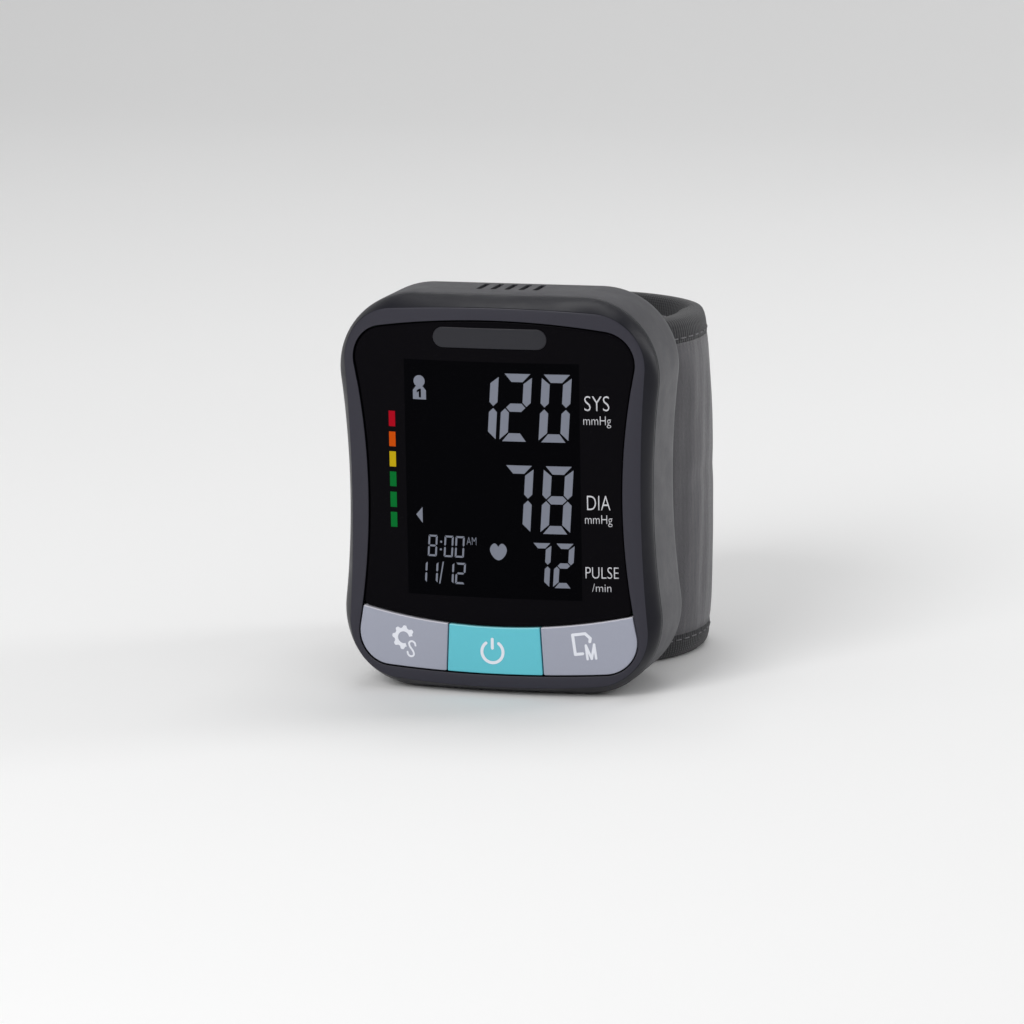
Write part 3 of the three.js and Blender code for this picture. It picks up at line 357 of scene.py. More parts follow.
grain_group, grain_in, grain_out = node_group(
    "moulded_grain", {"Grain Scale": 2500.0}, ("Height", "Shade", "Smear"))
grain_place = object_place(grain_group)
grain_fine = noise(grain_group, grain_place, grain_in["Grain Scale"], detail=3.0)
grain_broad = noise(grain_group, grain_place, scale=60.0, detail=3.0)
grain_smear = noise(grain_group, grain_place, scale=150.0, detail=4.0, rough=0.65)
grain_shade = weighted(grain_group, grain_broad, 0.6, grain_fine, 0.4)
wire(grain_group, grain_out, Height=grain_fine, Shade=grain_shade, Smear=grain_smear)
print("group:", grain_group.name, [socket.name for socket in grain_group.interface.items_tree])

# %% Ribs and nap of cloth
cloth_group, cloth_in, cloth_out = node_group(
    "cloth_nap", {"Place": None, "Ribs Per Metre": 900.0, "Nap": 0.5}, ("Height", "Shade"))
cloth_place = cloth_in["Place"]
cloth_axes = new_node(cloth_group, "SeparateXYZ", Vector=cloth_place).outputs


def zigzag(axis):
    count = maths(cloth_group, "MULTIPLY", cloth_axes[axis], cloth_in["Ribs Per Metre"])
    return maths(cloth_group, "PINGPONG", count, 0.5)


weave = maths(cloth_group, "ADD", zigzag("X"), zigzag("Y"))
nap = noise(cloth_group, cloth_place, scale=2600.0, detail=5.0, rough=0.7)
tufts = noise(cloth_group, cloth_place, scale=700.0, detail=3.0, rough=0.6)
fibres = weighted(cloth_group, nap, 0.6, tufts, 0.4)
cloth_height = mixed(cloth_group, cloth_in["Nap"], weave, fibres, VALUE_SOCKETS)
drift = noise(cloth_group, cloth_place, scale=90.0, detail=3.0)
cloth_shade = weighted(cloth_group, cloth_height, 0.65, drift, 0.35)
wire(cloth_group, cloth_out, Height=cloth_height, Shade=cloth_shade)
print("group:", cloth_group.name, [socket.name for socket in cloth_group.interface.items_tree])

# %% [markdown]
# ## Finishes
# A finish is a Principled shader with a group in front of it. The helper below mixes two shades of one
# colour by the group's shade, spreads the roughness by the group's smear, or by its shade where it has no
# smear, and raises the grain with a Bump node. Numbers that are the same all over, such as the sheen, are
# set on the shader itself.

# %% Finish helper
def shaded(colour, factor):
    return tuple(min(channel * factor, 1.0) for channel in colour[:3]) + (1.0,)


def effect_node(tree, group, **inputs):
    effect = new_node(tree, "Group")
    effect.node_tree = group
    return wire(tree, effect, **inputs)


def finish(name, group, inputs, colour, roughness, contrast=0.12, spread=0.06, relief=0.00003, bump=0.3,
           metallic=0.0, **fixed):
    material, tree, shader = new_material(name)
    effect = effect_node(tree, group, **inputs).outputs
    tint = mixed(tree, effect["Shade"], shaded(colour, 1 - contrast), shaded(colour, 1 + contrast))
    rough = new_node(tree, "MapRange", Value=effect["Smear" if "Smear" in effect else "Shade"],
                     From_Min=0.3, From_Max=0.7,
                     To_Min=max(roughness - spread, 0.0), To_Max=min(roughness + spread, 1.0))
    raised = new_node(tree, "Bump", Strength=bump, Distance=relief, Height=effect["Height"])
    wire(tree, shader, Base_Color=tint, Roughness=rough.outputs["Result"], Normal=raised.outputs["Normal"],
         Metallic=metallic, **fixed)
    return material


def plastic(name, colour, roughness, scale=2500.0, **more):
    return finish(name, grain_group, dict(Grain_Scale=scale), colour, roughness, **more)


def cloth(name, colour, ribs_per_metre, nap_share, follows=True, **more):
    """A cloth finish. It follows a band by its weave attribute, or else lies in Object coordinates."""
    material = finish(name, cloth_group, dict(Ribs_Per_Metre=ribs_per_metre, Nap=nap_share), colour,
                      roughness=0.92, contrast=0.35, spread=0.05, relief=0.0004, bump=0.6, **more)
    tree = material.node_tree
    effect = next(node for node in tree.nodes if node.type == "GROUP")
    if follows:
        source = new_node(tree, "Attribute")
        source.attribute_name = "weave"
        wire(tree, effect, Place=source.outputs["Vector"])
    else:
        wire(tree, effect, Place=object_place(tree))
    return material


# %% Finishes of this monitor
band_plastic = plastic("band_charcoal", srgb(42, 41, 51), 0.42, bump=0.25, Specular_IOR_Level=0.32)
# A darker copy of the band's plastic: painted shade on the bevel, where it turns away from the light.
bevel_painted_shade = plastic("bevel_charcoal_painted_shade", srgb(17, 17, 26), 0.36, bump=0.2, Specular_IOR_Level=0.18)
# Near black: painted shade on the wall of the opening, in the gap round the window and buttons.
opening_painted_shade = plastic("opening_wall_painted_shade", srgb(9, 9, 14), 0.6, Specular_IOR_Level=0.05)
rear_plastic = plastic("case_grey", srgb(58, 58, 63), 0.5, scale=1400.0, relief=0.00006, bump=0.5)
badge_plastic = plastic("badge_grey", srgb(31, 31, 37), 0.35, Specular_IOR_Level=0.3)


def button_plastic(name, colour, roughness):
    return plastic(name, colour, roughness, contrast=0.05, Specular_IOR_Level=0.35)


grey_button = button_plastic("button_grey", srgb(154, 157, 171), 0.42)
# The lighter edge finishes are a painted highlight on the faces of each button that turn upwards.
grey_painted_highlight = button_plastic("button_grey_painted_highlight", srgb(200, 199, 208), 0.36)
teal_button = button_plastic("button_teal", srgb(94, 189, 203), 0.42)
teal_painted_highlight = button_plastic("button_teal_painted_highlight", srgb(136, 213, 222), 0.36)


def ink(name, *colour):
    """Print and display segments: the window over them takes their own gloss away."""
    return plastic(name, srgb(*colour), roughness=0.4, contrast=0.05, relief=0.00001,
                   Specular_IOR_Level=0.05)


icon_white = ink("icon_white", 224, 226, 234)
segment_grey = ink("segment_grey", 118, 122, 134)
label_white = ink("label_white", 198, 198, 203)
bar_finishes = {
    "red": ink("bar_red", 158, 3, 25),
    "orange": ink("bar_orange", 187, 71, 2),
    "yellow": ink("bar_yellow", 182, 155, 13),
    "green": ink("bar_green", 1, 103, 41),
}
cuff_cloth = cloth("cuff_fabric", srgb(84, 83, 87), 900.0, 0.85, Sheen_Weight=0.35, Sheen_Roughness=0.5)
cuff_tape = cloth("cuff_tape", srgb(44, 44, 47), 1500.0, 0.25, Sheen_Weight=0.15)
cuff_lining = cloth("cuff_lining", srgb(60, 59, 63), 1300.0, 0.2, Sheen_Weight=0.2)
hook_cloth = cloth("hook_tape", srgb(40, 40, 43), 800.0, 0.1, follows=False, Sheen_Weight=0.1)
thread = cloth("stitch_thread", srgb(120, 119, 122), 2600.0, 0.1, follows=False)
print("finishes:", len(bpy.data.materials))

# %% [markdown]
# ### Window gloss
# The display window is black gloss plastic. The display behind it is seen only as a slightly deeper
# black, so the finish darkens a rectangle in Object coordinates. Fingers leave a faint smear in the
# gloss, as roughness.

# %% Window finish
DISPLAY_X = (-18.5, 18.5)
DISPLAY_Z = (-20.6, 28.1)


def window_finish():
    material, tree, shader = new_material("window_black")
    axes = new_node(tree, "SeparateXYZ", Vector=object_place(tree)).outputs
    inside = 1.0
    for axis, (low, high), shift in (("X", DISPLAY_X, 0), ("Z", DISPLAY_Z, CENTRE_Z)):
        over = maths(tree, "GREATER_THAN", axes[axis], (low + shift) * MM)
        under = maths(tree, "LESS_THAN", axes[axis], (high + shift) * MM)
        inside = maths(tree, "MULTIPLY", maths(tree, "MULTIPLY", over, under), inside)
    tint = mixed(tree, inside, srgb(11, 10, 13), srgb(3, 3, 5))
    smear = effect_node(tree, grain_group, Grain_Scale=400.0).outputs["Smear"]
    rough = new_node(tree, "MapRange", Value=smear, To_Min=0.05, To_Max=0.2)
    wire(tree, shader, Base_Color=tint, Roughness=rough.outputs["Result"], Specular_IOR_Level=0.015)
    return material


window_black = window_finish()
print("display area:", DISPLAY_X, DISPLAY_Z)

# %% [markdown]
# ## Outlines
# The case, its rim and its window all have the same kind of outline: round corners, sides that draw in to
# a waist and slightly crowned ends. One function gives them as points that match one to one, so that a
# bevel can be laid between two of them. The face is a shallow cylinder about an upright axis.

# %% Waisted outline
SIDE_STEPS, CORNER_STEPS, END_STEPS = 16, 22, 14
FACE_RADIUS = 172.0


def dome(x):
    return sag(x, FACE_RADIUS)


def arc(x, z, radius, start, end, steps):
    return [(x + radius * math.cos(a), z + radius * math.sin(a)) for a in ladder(start, end, steps)]


def outline_quarter(width, height, corner, waist, crown):
    corner_x = width / 2 - corner
    corner_z = height / 2 - crown - corner
    side_radius = ((corner - waist) ** 2 + corner_z ** 2 - corner ** 2) / (2 * waist)
    side_x = width / 2 - waist + side_radius
    lean = math.atan2(corner_z, side_x - corner_x)
    side = arc(side_x, 0, side_radius, math.pi, math.pi - lean, SIDE_STEPS)
    turn = math.pi / 2
    end = [(corner_x * (1 - i / END_STEPS), height / 2) for i in range(END_STEPS + 1)]
    if crown > 0:
        drop = (corner_x ** 2 + corner_z ** 2 - (height / 2 - corner) ** 2) / (2 * crown)
        turn = math.atan2(corner_z + drop, corner_x)
        end = arc(0, -drop, height / 2 + drop, turn, math.pi / 2, END_STEPS)
    return side + arc(corner_x, corner_z, corner, -lean, turn, CORNER_STEPS)[1:] + end[1:]


def waisted(width, height, corner, waist, crown=0.0, foot_crown=None, inset=0.0):
    """A whole outline about its centre. Its lower end may have a crown of its own."""
    size = (width - 2 * inset, height - 2 * inset, corner - inset, waist)
    upper = outline_quarter(*size, crown)
    lower = outline_quarter(*size, crown if foot_crown is None else foot_crown)
    left = [(-x, z) for x, z in reversed(upper)]
    under_left = [(-x, -z) for x, z in lower]
    under = [(x, -z) for x, z in reversed(lower)]
    return upper + left[1:] + under_left[1:] + under[1:-1]


CASE = dict(width=67.6, height=82, corner=16, waist=1.6)
RIM = dict(width=63.4, height=78.4, corner=11, waist=1.1, crown=0.8)
PANEL = dict(width=59.5, height=73.2, corner=6.9, waist=2.8, crown=1.8, foot_crown=0.6)
print("points in an outline:", len(waisted(**CASE)))

# %% [markdown]
# ## Skinning rings
# A moulded shell can be seen as a stack of rings. A grid primitive has exactly that layout, so it is
# added with one column for each point and one row for each ring, its points are put in place, and its
# seams are welded. That keeps clean loops of faces, which bevel and shade well.

# %% Skin helper
def skin(name, rings, weld=True):
    piece = added(name, bpy.ops.mesh.primitive_grid_add, x_subdivisions=len(rings[0]),
                  y_subdivisions=len(rings) - 1, size=1)
    put_points(piece, [in_frame(*point) for ring in rings for point in ring + ring[:1]])
    if weld:
        weld_seams(piece)
    return piece


def weld_seams(piece):
    active(piece)
    bpy.ops.object.mode_set(mode="EDIT")
    bpy.ops.mesh.select_all(action="SELECT")
    bpy.ops.mesh.remove_doubles(threshold=0.000002)
    bpy.ops.mesh.dissolve_degenerate(threshold=0.000001)
    bpy.ops.mesh.normals_make_consistent(inside=False)
    bpy.ops.object.mode_set(mode="OBJECT")


def at_depth(outline, depth):
    """A ring at one depth behind the face plane, or at a depth that changes with x."""
    if callable(depth):
        return [(x, depth(x), z + CENTRE_Z) for x, z in outline]
    return [(x, depth, z + CENTRE_Z) for x, z in outline]


def between(first, second, share):
    return [part_way(a, b, share) for a, b in zip(first, second)]


print("skin helper ready")

# %% [markdown]
# ## Front cover
# The front cover is the frame that holds the window and the buttons: a flat satin band with a rounded
# bevel that falls back to the parting line. Its section is one closed loop, from the inner wall over the
# bevel and the band and back through the opening, so the rings close on themselves. The bevel gets a
# darker copy of the band's plastic, as painted shade where it turns away from the light, and the wall
# of the opening is painted near black, as painted shade in the gap round the window and buttons.

# %% Front cover
PARTING = 6.8
PLATE = 1.8
WALL = 2.0
BEVEL_SHARES = (0.85, 0.7, 0.55, 0.42, 0.3, 0.2, 0.1, 0.04)
BEVEL_POWER = 1.8
RIM_MARGIN = 0.05
FACING_FRONT = -0.75
BEVEL_SHADE_FINISH, OPENING_SHADE_FINISH = 1, 2


def front_cover():
    case, rim, panel = waisted(**CASE), waisted(**RIM), waisted(**PANEL)
    rings = [at_depth(waisted(**CASE, inset=WALL), PARTING), at_depth(case, PARTING)]
    for share in BEVEL_SHARES:
        outline = between(rim, case, 1 - (1 - share) ** BEVEL_POWER)
        rings.append(at_depth(outline, lambda x, s=share: dome(x) + s * (PARTING - dome(x))))
    rings += [at_depth(outline, dome) for outline in (rim, between(rim, panel, 0.5), panel)]
    rings.append(at_depth(panel, lambda x: dome(x) + PLATE))
    rings.append(rings[0])
    piece = skin("front_cover_shell", rings)
    soften(piece, width=0.28, angle=28)
    smooth(piece)
    return piece


cover = front_cover()
paint(cover, band_plastic, bevel_painted_shade, opening_painted_shade)
rim_angles, rim_radii = zip(*sorted((math.atan2(z, x), math.hypot(x, z)) for x, z in waisted(**RIM)))
for face in cover.data.polygons:
    x, z = face.center.x / MM, face.center.z / MM - CENTRE_Z
    reach = np.interp(math.atan2(z, x), rim_angles, rim_radii)
    # Faces outside the rim take the bevel's painted shade.
    if math.hypot(x, z) > reach + RIM_MARGIN:
        face.material_index = BEVEL_SHADE_FINISH
    # Faces of the opening that don't face the front take the near-black painted shade.
    elif face.normal.y > FACING_FRONT:
        face.material_index = OPENING_SHADE_FINISH
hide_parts("front_cover")
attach(cover, "case")
print(cover.name, "faces:", len(cover.data.polygons))

# %% [markdown]
# ## Rear cover
# The rear cover is a deep shell: straight sides, a rounded shoulder, and a hollow back that sits on the
# cuff. Each column of its skin runs back until it meets the hollow, so the crease lies on a row of edges
# and takes a clean bevel. The door opening, the screw holes and the speaker slots are then cut with
# Boolean modifiers.

# %% Rear shell
PARTING_GAP = 0.25
REAR_FRONT = PARTING + PARTING_GAP
SADDLE = 24.867
SADDLE_RADIUS = 46.0
SHOULDER = SADDLE - 3.9
SHOULDER_STEPS = 12
REAR_EDGE = SADDLE + 8.1
EDGE_INSET = 6.0
EDGE_POWER = 1.84
BISECTIONS = 12
SHARE_STEPS = 64
BACK_SHARES = (0.94, 0.86, 0.74, 0.6, 0.45, 0.3, 0.15, 0.0)


def saddle(x, start):
    return start + sag(x, SADDLE_RADIUS)


def rear_rings(inset, back, edge):
    """Rings of one skin of the rear cover, from its front edge to the middle of its hollow back."""
    fronts = waisted(**CASE, inset=inset)
    outlines = {}

    def at_share(share):
        if share not in outlines:
            outlines[share] = waisted(**CASE, inset=inset + EDGE_INSET * share ** EDGE_POWER)
        return outlines[share]

    def depth_at(share):
        return SHOULDER + share * (edge - SHOULDER)

    ends = []
    for i in range(len(fronts)):
        low, high = 0.0, 1.0
        for _ in range(BISECTIONS):
            middle = (low + high) / 2
            if depth_at(middle) < min(saddle(at_share(middle)[i][0], back), edge):
                low = middle
            else:
                high = middle
        ends.append(low)
    rings = [at_depth(fronts, depth) for depth in (REAR_FRONT, (REAR_FRONT + SHOULDER) / 2, SHOULDER)]
    for step in range(1, SHOULDER_STEPS + 1):
        ring = []
        for i, end in enumerate(ends):
            share = end * step / SHOULDER_STEPS
            lower = math.floor(share * SHARE_STEPS) / SHARE_STEPS
            upper = min(lower + 1 / SHARE_STEPS, 1.0)
            x, z = part_way(at_share(lower)[i], at_share(upper)[i], (share - lower) * SHARE_STEPS)
            ring.append((x, depth_at(share), z + CENTRE_Z))
        rings.append(ring)
    last = rings[-1]
    for share in BACK_SHARES:
        rings.append([(x * share, min(saddle(x * share, back), edge), CENTRE_Z + (z - CENTRE_Z) * share)
                      for x, _, z in last])
    return rings


outside = rear_rings(0.0, SADDLE, REAR_EDGE)
inside = rear_rings(WALL, SADDLE - WALL, REAR_EDGE - WALL)
rear = skin("rear_cover_shell", inside[::-1] + outside)
soften(rear, width=0.6, angle=32, segments=4)
print(rear.name, "faces before cutting:", len(rear.data.polygons))

# %% Openings of the rear cover
BAY_FRONT = 11.767
BAY_DEPTH = 11.1
BAY_BACK = BAY_FRONT + BAY_DEPTH
BAY_X = (-30.0, -8.3)
BAY_Z = (CENTRE_Z - 25.8, CENTRE_Z + 25.8)
DOOR_Z = (CENTRE_Z - 23.0, CENTRE_Z + 23.0)
DOOR_GAP = 0.25
DOORWAY_X = (-40, -24)
HINGE_ROOM = 0.6
SCREWS = ((-17.0, CASE_HEIGHT - 7.0), (17.0, CASE_HEIGHT - 7.0))
SCREW_HOLE = 2.2
SCREW_HOLE_DEPTHS = (12.6, 45)
SCREW_TUBE_DEPTHS = (11.0, 24.0)
BAY_CLEARANCE = 0.25
SPEAKER_Y = 16.67
SLOTS, SLOT_PITCH = 5, 3.0
SLOT_HALF_WIDTH, SLOT_HALF_DEPTH = 0.6, 3.5
SLOT_Z = (CASE_HEIGHT - 6, CASE_HEIGHT + 4)


def block(name, low, high):
    """A cube between two corners."""
    middle = in_frame(*part_way(low, high, 0.5))
    piece = added(name, bpy.ops.mesh.primitive_cube_add, size=1, location=middle)
    piece.scale = [(b - a) * MM for a, b in zip(low, high)]
    return settled(piece)


def barrel(name, radius, start, end, x, z, sides=40):
    """A cylinder along the depth of the case."""
    return settled(added(name, bpy.ops.mesh.primitive_cylinder_add, vertices=sides, radius=radius * MM,
                         depth=(end - start) * MM, location=in_frame(x, (start + end) / 2, z),
                         rotation=(math.pi / 2, 0, 0)))


def carve(piece, tool):
    modified(piece, "BOOLEAN", operation="DIFFERENCE", solver="EXACT", object=tool)
    bpy.data.objects.remove(tool)


carve(rear, block("doorway", (DOORWAY_X[0], BAY_FRONT, DOOR_Z[0] - HINGE_ROOM),
                  (DOORWAY_X[1], BAY_BACK, DOOR_Z[1] + DOOR_GAP)))
for x, z in SCREWS:
    carve(rear, barrel("screw_hole", SCREW_HOLE, *SCREW_HOLE_DEPTHS, x, z))
for number in range(SLOTS):
    x = (number - SLOTS // 2) * SLOT_PITCH
    slot = block("slot", (x - SLOT_HALF_WIDTH, SPEAKER_Y - SLOT_HALF_DEPTH, SLOT_Z[0]),
                 (x + SLOT_HALF_WIDTH, SPEAKER_Y + SLOT_HALF_DEPTH, SLOT_Z[1]))
    soften(slot, width=0.55, segments=4)
    carve(rear, slot)
smooth(rear, angle=32)
paint(rear, rear_plastic)
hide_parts("rear_cover")
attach(rear, "case")
print(rear.name, "faces:", len(rear.data.polygons))

# %% [markdown]
# ## Inside the rear cover
# When the battery door is open, the bay's walls can be seen, and a screw hole shows the tube that carries
# its screw. The bay is a box whose open side faces the door: a cube loses that face and gets a wall by
# Solidify. Each screw tube is a cylinder that loses its ends and gets a wall too.

# %% Bay and screw tubes
BAY_WALL, TUBE_WALL = 0.9, 0.6
SQUARE_ON = 0.9


def open_shell(piece, test, thickness):
    """Deletes the faces that pass a test and gives the rest a wall on their outer side."""
    edit_some(piece, "FACE", test)
    bpy.ops.mesh.delete(type="FACE")
    modified(piece, "SOLIDIFY", thickness=thickness * MM, offset=1.0)


bay_low = (BAY_X[0], BAY_FRONT, BAY_Z[0])
bay = block("battery_bay", bay_low, (BAY_X[1], BAY_BACK - BAY_CLEARANCE, BAY_Z[1]))
open_shell(bay, lambda face: face.normal.x < -SQUARE_ON, BAY_WALL)
soften(bay, width=0.2, angle=50, segments=2)
smooth(bay)
paint(bay, rear_plastic)
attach(bay, "case")
for number, (x, z) in enumerate(SCREWS, 1):
    tube = barrel(f"screw_tube_{number}", SCREW_HOLE, *SCREW_TUBE_DEPTHS, x, z)
    open_shell(tube, lambda face: abs(face.normal.y) > SQUARE_ON, TUBE_WALL)
    smooth(tube)
    paint(tube, rear_plastic)
    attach(tube, "case")
print("bay faces:", len(bay.data.polygons), " screw tubes:", len(SCREWS))

# %% [markdown]
# ## Battery door
# The door is a piece of the side wall. It is laid as a grid over the same waisted side, given a wall by
# Solidify and soft edges by Bevel. Four grip ribs near its top are cubes with all edges rounded, and a
# pin at its lower edge turns in the case. The door swings out with its own body.

# %% Battery door
DOOR_COLUMNS, DOOR_ROWS = 12, 40
case_side = waisted(**CASE)[:SIDE_STEPS + CORNER_STEPS + 1]
case_side_x, case_side_z = zip(*case_side)


def side_x(y, z):
    half_width = float(np.interp(abs(z - CENTRE_Z), case_side_z, case_side_x))
    back = max(y - SHOULDER, 0) / (REAR_EDGE - SHOULDER)
    return -(half_width - EDGE_INSET * back ** EDGE_POWER)


door = added("battery_door_panel", bpy.ops.mesh.primitive_grid_add, x_subdivisions=DOOR_COLUMNS,
             y_subdivisions=DOOR_ROWS, size=1)
door_y = ladder(BAY_BACK - DOOR_GAP, BAY_FRONT + DOOR_GAP, DOOR_COLUMNS)
put_points(door, [in_frame(side_x(y, z), y, z) for z in ladder(*DOOR_Z, DOOR_ROWS) for y in door_y])
inwards = -1.0 if door.data.polygons[0].normal.x < 0 else 1.0
modified(door, "SOLIDIFY", thickness=WALL * MM, offset=inwards)
soften(door, width=0.25, angle=50)
print(door.name, "faces:", len(door.data.polygons))

# %% Grip ribs and hinge pin
RIBS, RIB_PITCH, RIB_DROP = 4, 1.8, 5.0
RIB_INSET, RIB_OUT, RIB_IN, RIB_HALF = 2.4, 0.35, 0.8, 0.45
PIN_RADIUS, PIN_END = 0.5, 0.65

door_parts = [door]
door_middle = BAY_FRONT + BAY_DEPTH / 2
for number in range(RIBS):
    z = DOOR_Z[1] - RIB_DROP - number * RIB_PITCH
    x = side_x(door_middle, z)
    rib = block("rib", (x - RIB_OUT, BAY_FRONT + RIB_INSET, z - RIB_HALF),
                (x + RIB_IN, BAY_BACK - RIB_INSET, z + RIB_HALF))
    soften(rib, width=0.3)
    door_parts.append(rib)
pin_z = DOOR_Z[0] + WALL / 2
pin_x = side_x(door_middle, pin_z) + WALL / 2
pin = barrel("pin", PIN_RADIUS, BAY_FRONT - PIN_END, BAY_BACK + PIN_END, pin_x, pin_z, sides=24)
joined("battery_door_panel", door_parts + [pin])
smooth(door)
paint(door, rear_plastic)
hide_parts("battery_door")
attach(door, "battery_door")
print("door pin at", round(pin_x, 2), round(pin_z, 2))

# %% [markdown]
# ## Pieces of the domed face
# The window, its plate and the buttons are plates with a free outline that lie on the same dome. One
# helper makes them all: the outline is a list of sides whose corners are rounded, and the skin runs from
# the middle of the back, round the edge, to the middle of the front.

# %% Plates on the dome
ROUND_STEPS = 8
OUTLINE_POINTS = 240
EDGE_STEPS = 6


def trimmed(side, length):
    """A polyline with a length cut off its start."""
    points = list(side)
    left = length
    while len(points) > 2 and math.dist(points[0], points[1]) <= left:
        left -= math.dist(points[0], points[1])
        points.pop(0)
    return [part_way(points[0], points[1], left / math.dist(points[0], points[1]))] + points[1:]


def rounded_outline(sides, radius):
    cut = [trimmed(trimmed(side, radius)[::-1], radius)[::-1] for side in sides]
    outline = []
    for i, side in enumerate(cut):
        following = (i + 1) % len(sides)
        bend = list(zip(side[-1], sides[following][0], cut[following][0]))
        outline += side
        for t in ladder(0, 1, ROUND_STEPS)[1:-1]:
            outline.append(tuple((1 - t) ** 2 * a + 2 * t * (1 - t) * b + t ** 2 * c for a, b, c in bend))
    return outline


def evenly(outline, count):
    loop = outline + outline[:1]
    lengths = [0.0]
    for a, b in zip(loop, loop[1:]):
        lengths.append(lengths[-1] + math.dist(a, b))
    marks = np.linspace(0, lengths[-1], count, endpoint=False)
    xs, zs = (np.interp(marks, lengths, values).tolist() for values in zip(*loop))
    return list(zip(xs, zs))


def drawn_in(outline, by):
    """The outline moved inwards along its own normals."""
    count = len(outline)
    moved = []
    for i, (x, z) in enumerate(outline):
        before, after = outline[i - 1], outline[(i + 1) % count]
        along = (after[0] - before[0], after[1] - before[1])
        size = math.hypot(*along) or 1.0
        moved.append((x - along[1] / size * by, z + along[0] / size * by))
    return moved


def dome_plate(name, outline, front, back, edge, inner_steps):
    """A plate between two depths behind the dome, with its front edge rounded."""
    outline = evenly(outline, OUTLINE_POINTS)
    middle = [sum(values) / len(outline) for values in zip(*outline)]

    def towards_middle(loop, share):
        return [part_way(middle, point, share) for point in loop]

    shares = ladder(0, 1, inner_steps)
    rings = [at_depth(towards_middle(outline, s), lambda x: dome(x) + back) for s in shares]
    for angle in ladder(0, math.pi / 2, EDGE_STEPS):
        loop = drawn_in(outline, edge * (1 - math.cos(angle)))
        rings.append(at_depth(loop, lambda x, a=angle: dome(x) + front + edge * (1 - math.sin(a))))
    inner = drawn_in(outline, edge)
    rings += [at_depth(towards_middle(inner, s), lambda x: dome(x) + front) for s in reversed(shares[:-1])]
    piece = skin(name, rings)
    smooth(piece, angle=50)
    return piece


STRIP_ARC = 140.0
STRIP_LOW = -26.4


def strip_edge(x):
    """Height of the arc between the window and the buttons."""
    return STRIP_LOW + sag(x, STRIP_ARC)


print("strip edge at the middle and the side:", STRIP_LOW, round(strip_edge(PANEL["width"] / 2), 2))

# %% Window and bare plate
REVEAL = 0.2
RECESS = 0.4
WINDOW_THICK, WINDOW_EDGE, WINDOW_CORNER = 1.8, 0.25, 0.5
WINDOW_STEPS, BADGE_STEPS, PILL_STEPS = 24, 8, 16
ARC_STEPS = 40
BADGE_Z, BADGE_X, BADGE_RADIUS = 32.95, 9.9, 2.1
BADGE_FRONT, BADGE_BACK, BADGE_EDGE = 0.18, 0.39, 0.15
panel_edge = waisted(**PANEL, inset=REVEAL)


def clipped(keep):
    """The stretch of the panel's edge whose points pass a test, in order round the panel."""
    count = len(panel_edge)
    start = next(i for i in range(count) if keep(panel_edge[i]) and not keep(panel_edge[i - 1]))
    stretch = []
    while keep(panel_edge[start % count]) and len(stretch) < count:
        stretch.append(panel_edge[start % count])
        start += 1
    return stretch


def arc_side(from_x, to_x, lift=0.0):
    return [(x, strip_edge(x) + lift) for x in ladder(from_x, to_x, ARC_STEPS)]


top_edge = clipped(lambda p: p[1] > strip_edge(p[0]))
low_arc = arc_side(top_edge[-1][0], top_edge[0][0])
window_outline = rounded_outline([top_edge, low_arc], WINDOW_CORNER)
window = dome_plate("window_plate", window_outline, RECESS, RECESS + WINDOW_THICK, WINDOW_EDGE,
                    WINDOW_STEPS)
paint(window, window_black)
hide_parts("display_lens")
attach(window, "case")

pill = arc(BADGE_X, BADGE_Z, BADGE_RADIUS, -math.pi / 2, math.pi / 2, PILL_STEPS)
pill += arc(-BADGE_X, BADGE_Z, BADGE_RADIUS, math.pi / 2, 3 * math.pi / 2, PILL_STEPS)
badge = dome_plate("bare_plate", pill, BADGE_FRONT, BADGE_BACK, BADGE_EDGE, BADGE_STEPS)
paint(badge, badge_plastic)
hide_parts("badge_plate")
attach(badge, "case")
print("window and plate faces:", len(window.data.polygons), len(badge.data.polygons))

# %% Button outlines
DIVIDER = 9.75
DIVIDER_LEAN = math.tan(math.radians(3.0))
DIVIDER_STEPS, DIVIDER_TRIALS = 12, 4
GAP = 0.12
BELOW = -0.3


def divider(side, z):
    """Where the line on one side of the power button stands at a height: it leans in at the top."""
    return side * (DIVIDER + (STRIP_LOW - z) * DIVIDER_LEAN)


def divider_top(side, gap):
    """Where that line meets the arc, found by a few rounds of trial."""
    z = STRIP_LOW
    for _ in range(DIVIDER_TRIALS):
        z = strip_edge(divider(side, z) + gap) + BELOW
    return divider(side, z) + gap, z


def straight(start, end):
    return list(zip(*(ladder(a, b, DIVIDER_STEPS) for a, b in zip(start, end))))


def under_strip(p):
    return p[1] < strip_edge(p[0]) + BELOW


def button_sides(edge, first, last):
    """Sides of a button, from its lower edge round its upper one. None stands for the panel's own edge."""
    begin, end = edge[0], edge[-1]
    left, right = begin[0], end[0]
    sides = [edge]
    if last:
        top = divider_top(*last)
        foot = (divider(last[0], end[1]) + last[1], end[1])
        right = top[0]
        sides[0] = sides[0] + [foot]
        sides.append(straight(foot, top))
    if first:
        left = divider_top(*first)[0]
    sides.append(arc_side(right, left, BELOW))
    if first:
        foot = (divider(first[0], begin[1]) + first[1], begin[1])
        sides[0] = [foot] + sides[0]
        sides.append(straight(divider_top(*first), foot))
    return sides


left_edge = clipped(lambda p: under_strip(p) and p[0] < divider(-1, p[1]) - GAP)
low_edge = clipped(lambda p: under_strip(p) and abs(p[0]) < divider(1, p[1]) - GAP)
right_edge = clipped(lambda p: under_strip(p) and p[0] > divider(1, p[1]) + GAP)
print("points along the buttons' lower edges:", len(left_edge), len(low_edge), len(right_edge))

